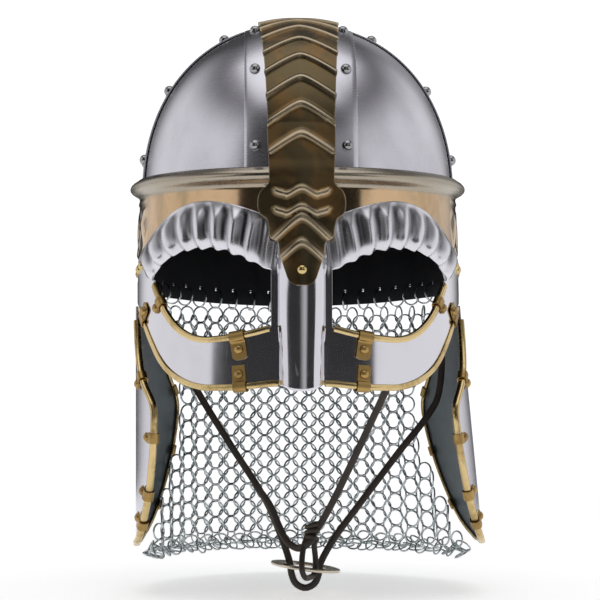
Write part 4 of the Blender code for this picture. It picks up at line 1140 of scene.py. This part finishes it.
strap = dict(half=0.0022, thin=0.0016, sides=16, squareness=0.62, longSteps=200, shortSteps=110,
             loopSteps=80)
longRoute = (
    (-0.0978, 0.0000, 0.0130), (-0.0932, -0.0005, -0.0030), (-0.0835, -0.0035, -0.0270),
    (-0.0640, -0.0080, -0.0634), (-0.0425, -0.0130, -0.0980), (-0.0205, -0.0180, -0.1325),
    (-0.0105, -0.0200, -0.1560), (-0.0052, -0.0205, -0.1720), (-0.0042, -0.0205, -0.1790),
    (-0.0015, -0.0205, -0.1850), (0.0045, -0.0205, -0.1878), (0.0104, -0.0205, -0.1850),
    (0.0130, -0.0205, -0.1790), (0.0142, -0.0205, -0.1720), (0.0230, -0.0190, -0.1565),
    (0.0395, -0.0160, -0.1345), (0.0640, -0.0100, -0.1030), (0.0880, -0.0050, -0.0720),
    (0.0925, -0.0020, -0.0540), (0.0930, 0.0000, -0.0300), (0.0932, 0.0000, -0.0030),
    (0.0978, 0.0000, 0.0130))
shortRoute = (
    (0.0640, -0.0893, -0.0330), (0.0600, -0.0893, -0.0445), (0.0515, -0.0800, -0.0630),
    (0.0365, -0.0580, -0.0980), (0.0215, -0.0430, -0.1310), (0.0135, -0.0385, -0.1460),
    (0.0085, -0.0370, -0.1530))
loopRoute = (
    (0.0070, -0.0370, -0.1500), (0.0030, -0.0400, -0.1600), (0.0018, -0.0450, -0.1735),
    (0.0036, -0.0435, -0.1786), (0.0066, -0.0370, -0.1796), (0.0098, -0.0305, -0.1780),
    (0.0108, -0.0292, -0.1710), (0.0098, -0.0330, -0.1600), (0.0088, -0.0370, -0.1480))
tailRoute = (
    (0.0090, -0.0395, -0.1540), (0.0045, -0.0400, -0.1590), (-0.0008, -0.0365, -0.1612),
    (-0.0070, -0.0320, -0.1575), (-0.0118, -0.0285, -0.1490), (-0.0180, -0.0255, -0.1350),
    (-0.0268, -0.0235, -0.1225))


def smoothRoute(route, count):
    # evenly spaced points on a smooth curve through the route
    marks = [0.0]
    for first, second in zip(route, route[1:]):
        marks.append(marks[-1] + (Vector(second) - Vector(first)).length)
    table = [(mark, *point) for mark, point in zip(marks, route)]
    return [Vector([readTable(table, axis, marks[-1] * i / count) for axis in (1, 2, 3)])
            for i in range(count + 1)]


def squared(angle, power):
    # a place on a round whose corners are pulled out
    return [math.copysign(abs(way) ** power, way) for way in (math.cos(angle), math.sin(angle))]


def strapMesh(route, count, facing, wide=1.0, thick=1.0):
    # a lace with rounded edges, whose broad side looks along facing
    points = smoothRoute(route, count)
    stations = []
    for index, point in enumerate(points):
        ahead = points[min(index + 1, count)] - points[max(index - 1, 0)]
        ahead.normalize()
        out = (facing - ahead * facing.dot(ahead)).normalized()
        stations.append((point, out, ahead.cross(out)))
    profile, reliefs = [], []
    half, thin = strap["half"] * wide, strap["thin"] * thick
    for step in range(strap["sides"]):
        angle = math.tau * step / strap["sides"]
        across, deep = squared(angle, strap["squareness"])
        profile.append((across * thin, deep * half))
        reliefs.append(abs(math.sin(angle)) ** 6)
    return sweepMesh(stations, profile, reliefs)


knot = dict(turns=3, middle=(0.0086, -0.0370, -0.1468), step=(0.0003, 0.0042),
            radii=(0.0031, 0.0034, 0.0012), corners=24, steps=48)


def tieStraps():
    facing = Vector((0, -1, 0))
    bm = strapMesh(longRoute, strap["longSteps"], facing)
    makePiece("long_strap", bm, "leather")
    bm = strapMesh(shortRoute, strap["shortSteps"], facing)
    pourInto(bm, strapMesh(loopRoute, strap["loopSteps"], facing, 0.82, 0.95))
    pourInto(bm, strapMesh(tailRoute, strap["loopSteps"], facing))
    x, y, z = knot["middle"]
    for index in range(knot["turns"]):
        middle = Vector((x - knot["step"][0] * index, y, z - knot["step"][1] * index))
        wrap = []
        for step in range(knot["corners"] + 1):
            angle = math.tau * step / knot["corners"]
            ways = (math.cos(angle), math.sin(angle), math.cos(angle + index))
            wrap.append(middle + Vector([way * radius for way, radius in zip(ways, knot["radii"])]))
        pourInto(bm, strapMesh(wrap, knot["steps"], Vector((0, 0.3, 1)), 0.85, 0.9))
    makePiece("short_strap", bm, "leather")


washer = dict(radius=0.0223, hole=0.0135, wall=0.0024, centre=(0.0047, -0.0200, -0.1743), tilt=7.4,
              sides=20, squareness=0.55, steps=72)


def strapRing():
    bm = bmesh.new()
    bmesh.ops.create_circle(bm, segments=washer["sides"], radius=1.0)
    reach = (washer["radius"] - washer["hole"]) / 2
    middle = (washer["radius"] + washer["hole"]) / 2
    for vert in bm.verts:
        x, z = squared(math.atan2(vert.co.y, vert.co.x), washer["squareness"])
        vert.co = (middle + x * reach, 0.0, z * washer["wall"] / 2)
    bmesh.ops.spin(bm, geom=bm.verts[:] + bm.edges[:], cent=(0, 0, 0), axis=(0, 0, 1), angle=math.tau,
                   steps=washer["steps"], use_merge=True)
    bmesh.ops.recalc_face_normals(bm, faces=bm.faces)
    tilt = Matrix.Translation(washer["centre"]) @ Matrix.Rotation(math.radians(washer["tilt"]), 4, "Y")
    makePiece("strap_ring", bm, "washer", turned=tilt)


tieStraps()
strapRing()
print("straps made")

for name, node in nodes.items():  # the hinges keep their solids
    if "leaf" in name:
        for slotted in node.material_slots:
            slotted.material = paints["clip"]


# Floor, light and camera

studio = dict(floor=-0.1915, floorSize=1.0, floorColour=(0.90, 0.90, 0.90), floorGlow=0.52,
              distance=1.35, aside=1.2, eye=-0.0462, focal=2092.5, width=600, middle=(297.5, 365.0),
              lampPlace=(0.0, -0.3, 2.4), lampSize=(2.8, 2.4), lampPower=16)


def makeFloor():
    bm = bmesh.new()
    bmesh.ops.create_grid(bm, x_segments=8, y_segments=8, size=studio["floorSize"])
    bmesh.ops.translate(bm, vec=(0, 0, studio["floor"]), verts=bm.verts)
    mesh = meshFrom("floor", bm)
    colour = studio["floorColour"]
    paint = Paint("paleFloor", Roughness=0.8, Emission_Color=(1.0, 1.0, 1.0),
                  Emission_Strength=studio["floorGlow"])
    lighter = tuple(part * 1.02 for part in colour)
    paint.feed("Base Color", paint.mix(paint.noise(0.7, 2.0), colour, lighter))
    mesh.materials.append(paint.material)
    addToScene("floor", mesh)


sky = dict(  # each light's edges, by azimuth in radians or by height from 0 to 1, and its power
    colour=(0.985, 0.985, 1.0), power=0.89, dim=0.035, seen=1.1,
    boxFront=(0.99, 1.05), boxBack=(2.85, 2.35), boxTop=(0.80, 0.45),
    slant=(0.065, 0.10), slantBy=0.16, low=(0.0, 0.05), left=(0.3, -0.3), lowBy=0.19,
    strip=((-0.06, 0.10), (0.34, 0.16)), stripPower=0.55,
    lifted=((-0.15, 0.0), (0.22, 0.32), (0.62, 0.50)), liftedPower=0.35,
    overhead=(0.66, 0.96), overheadPower=0.56)


def makeSky():
    # a white room: bright to both sides and overhead, dim straight ahead and behind
    world = bpy.data.worlds.new("studio")
    bpy.context.scene.world = world
    room = Board(world, "Background")
    x, y, z = room.parts(room.node("TexCoord", {}, {}, "Generated"), "XYZ")
    azimuth = x.sum("ARCTAN2", x, y * -1.0)
    away = azimuth.sum("ABSOLUTE", azimuth)
    later = (1.0 - z.between(*sky["low"])) * azimuth.between(*sky["left"]) * sky["lowBy"]
    slant = z.between(*sky["slant"]) * sky["slantBy"] - later
    boxes = (away + slant).between(*sky["boxFront"]) * away.between(*sky["boxBack"])
    boxes = boxes * z.between(*sky["boxTop"])
    rising, falling = sky["strip"]
    strip = azimuth.between(*rising) * azimuth.between(*falling) * sky["stripPower"]
    side, bottom, top = sky["lifted"]
    lifted = azimuth.between(*side) * z.between(*bottom) * z.between(*top) * sky["liftedPower"]
    overhead = z.between(*sky["overhead"]) * sky["overheadPower"]
    glow = boxes.atLeast(strip.atLeast(overhead).atLeast(lifted)) * sky["power"] + sky["dim"]
    seen = room.node("LightPath", {}, {}, "Is Camera Ray")
    room.feed("Strength", glow * (1.0 - seen) + seen * sky["seen"])
    room.feed("Color", sky["colour"])


def makeCamera():
    data = bpy.data.cameras.new("camera")
    data.sensor_width = 36.0
    data.lens = studio["focal"] * data.sensor_width / studio["width"]
    half = studio["width"] / 2
    data.shift_x = (half - studio["middle"][0]) / studio["width"]
    data.shift_y = (studio["middle"][1] - half) / studio["width"]
    camera = addToScene("camera", data)
    angle, distance = math.radians(studio["aside"]), studio["distance"]
    camera.location = (-distance * math.sin(angle), -distance * math.cos(angle), studio["eye"])
    camera.rotation_euler = (math.pi / 2, 0.0, -angle)
    bpy.context.scene.camera = camera


def makeLamp():
    data = bpy.data.lights.new("overhead", "AREA")
    data.shape = "RECTANGLE"
    data.size, data.size_y = studio["lampSize"]
    data.energy = studio["lampPower"]
    lamp = addToScene("overhead", data)
    lamp.location = studio["lampPlace"]
    lamp.rotation_euler = (-lamp.location).to_track_quat("-Z", "Y").to_euler()


makeFloor()
makeSky()
makeCamera()
makeLamp()
bpy.context.scene.view_settings.view_transform = "Standard"
print("studio made")
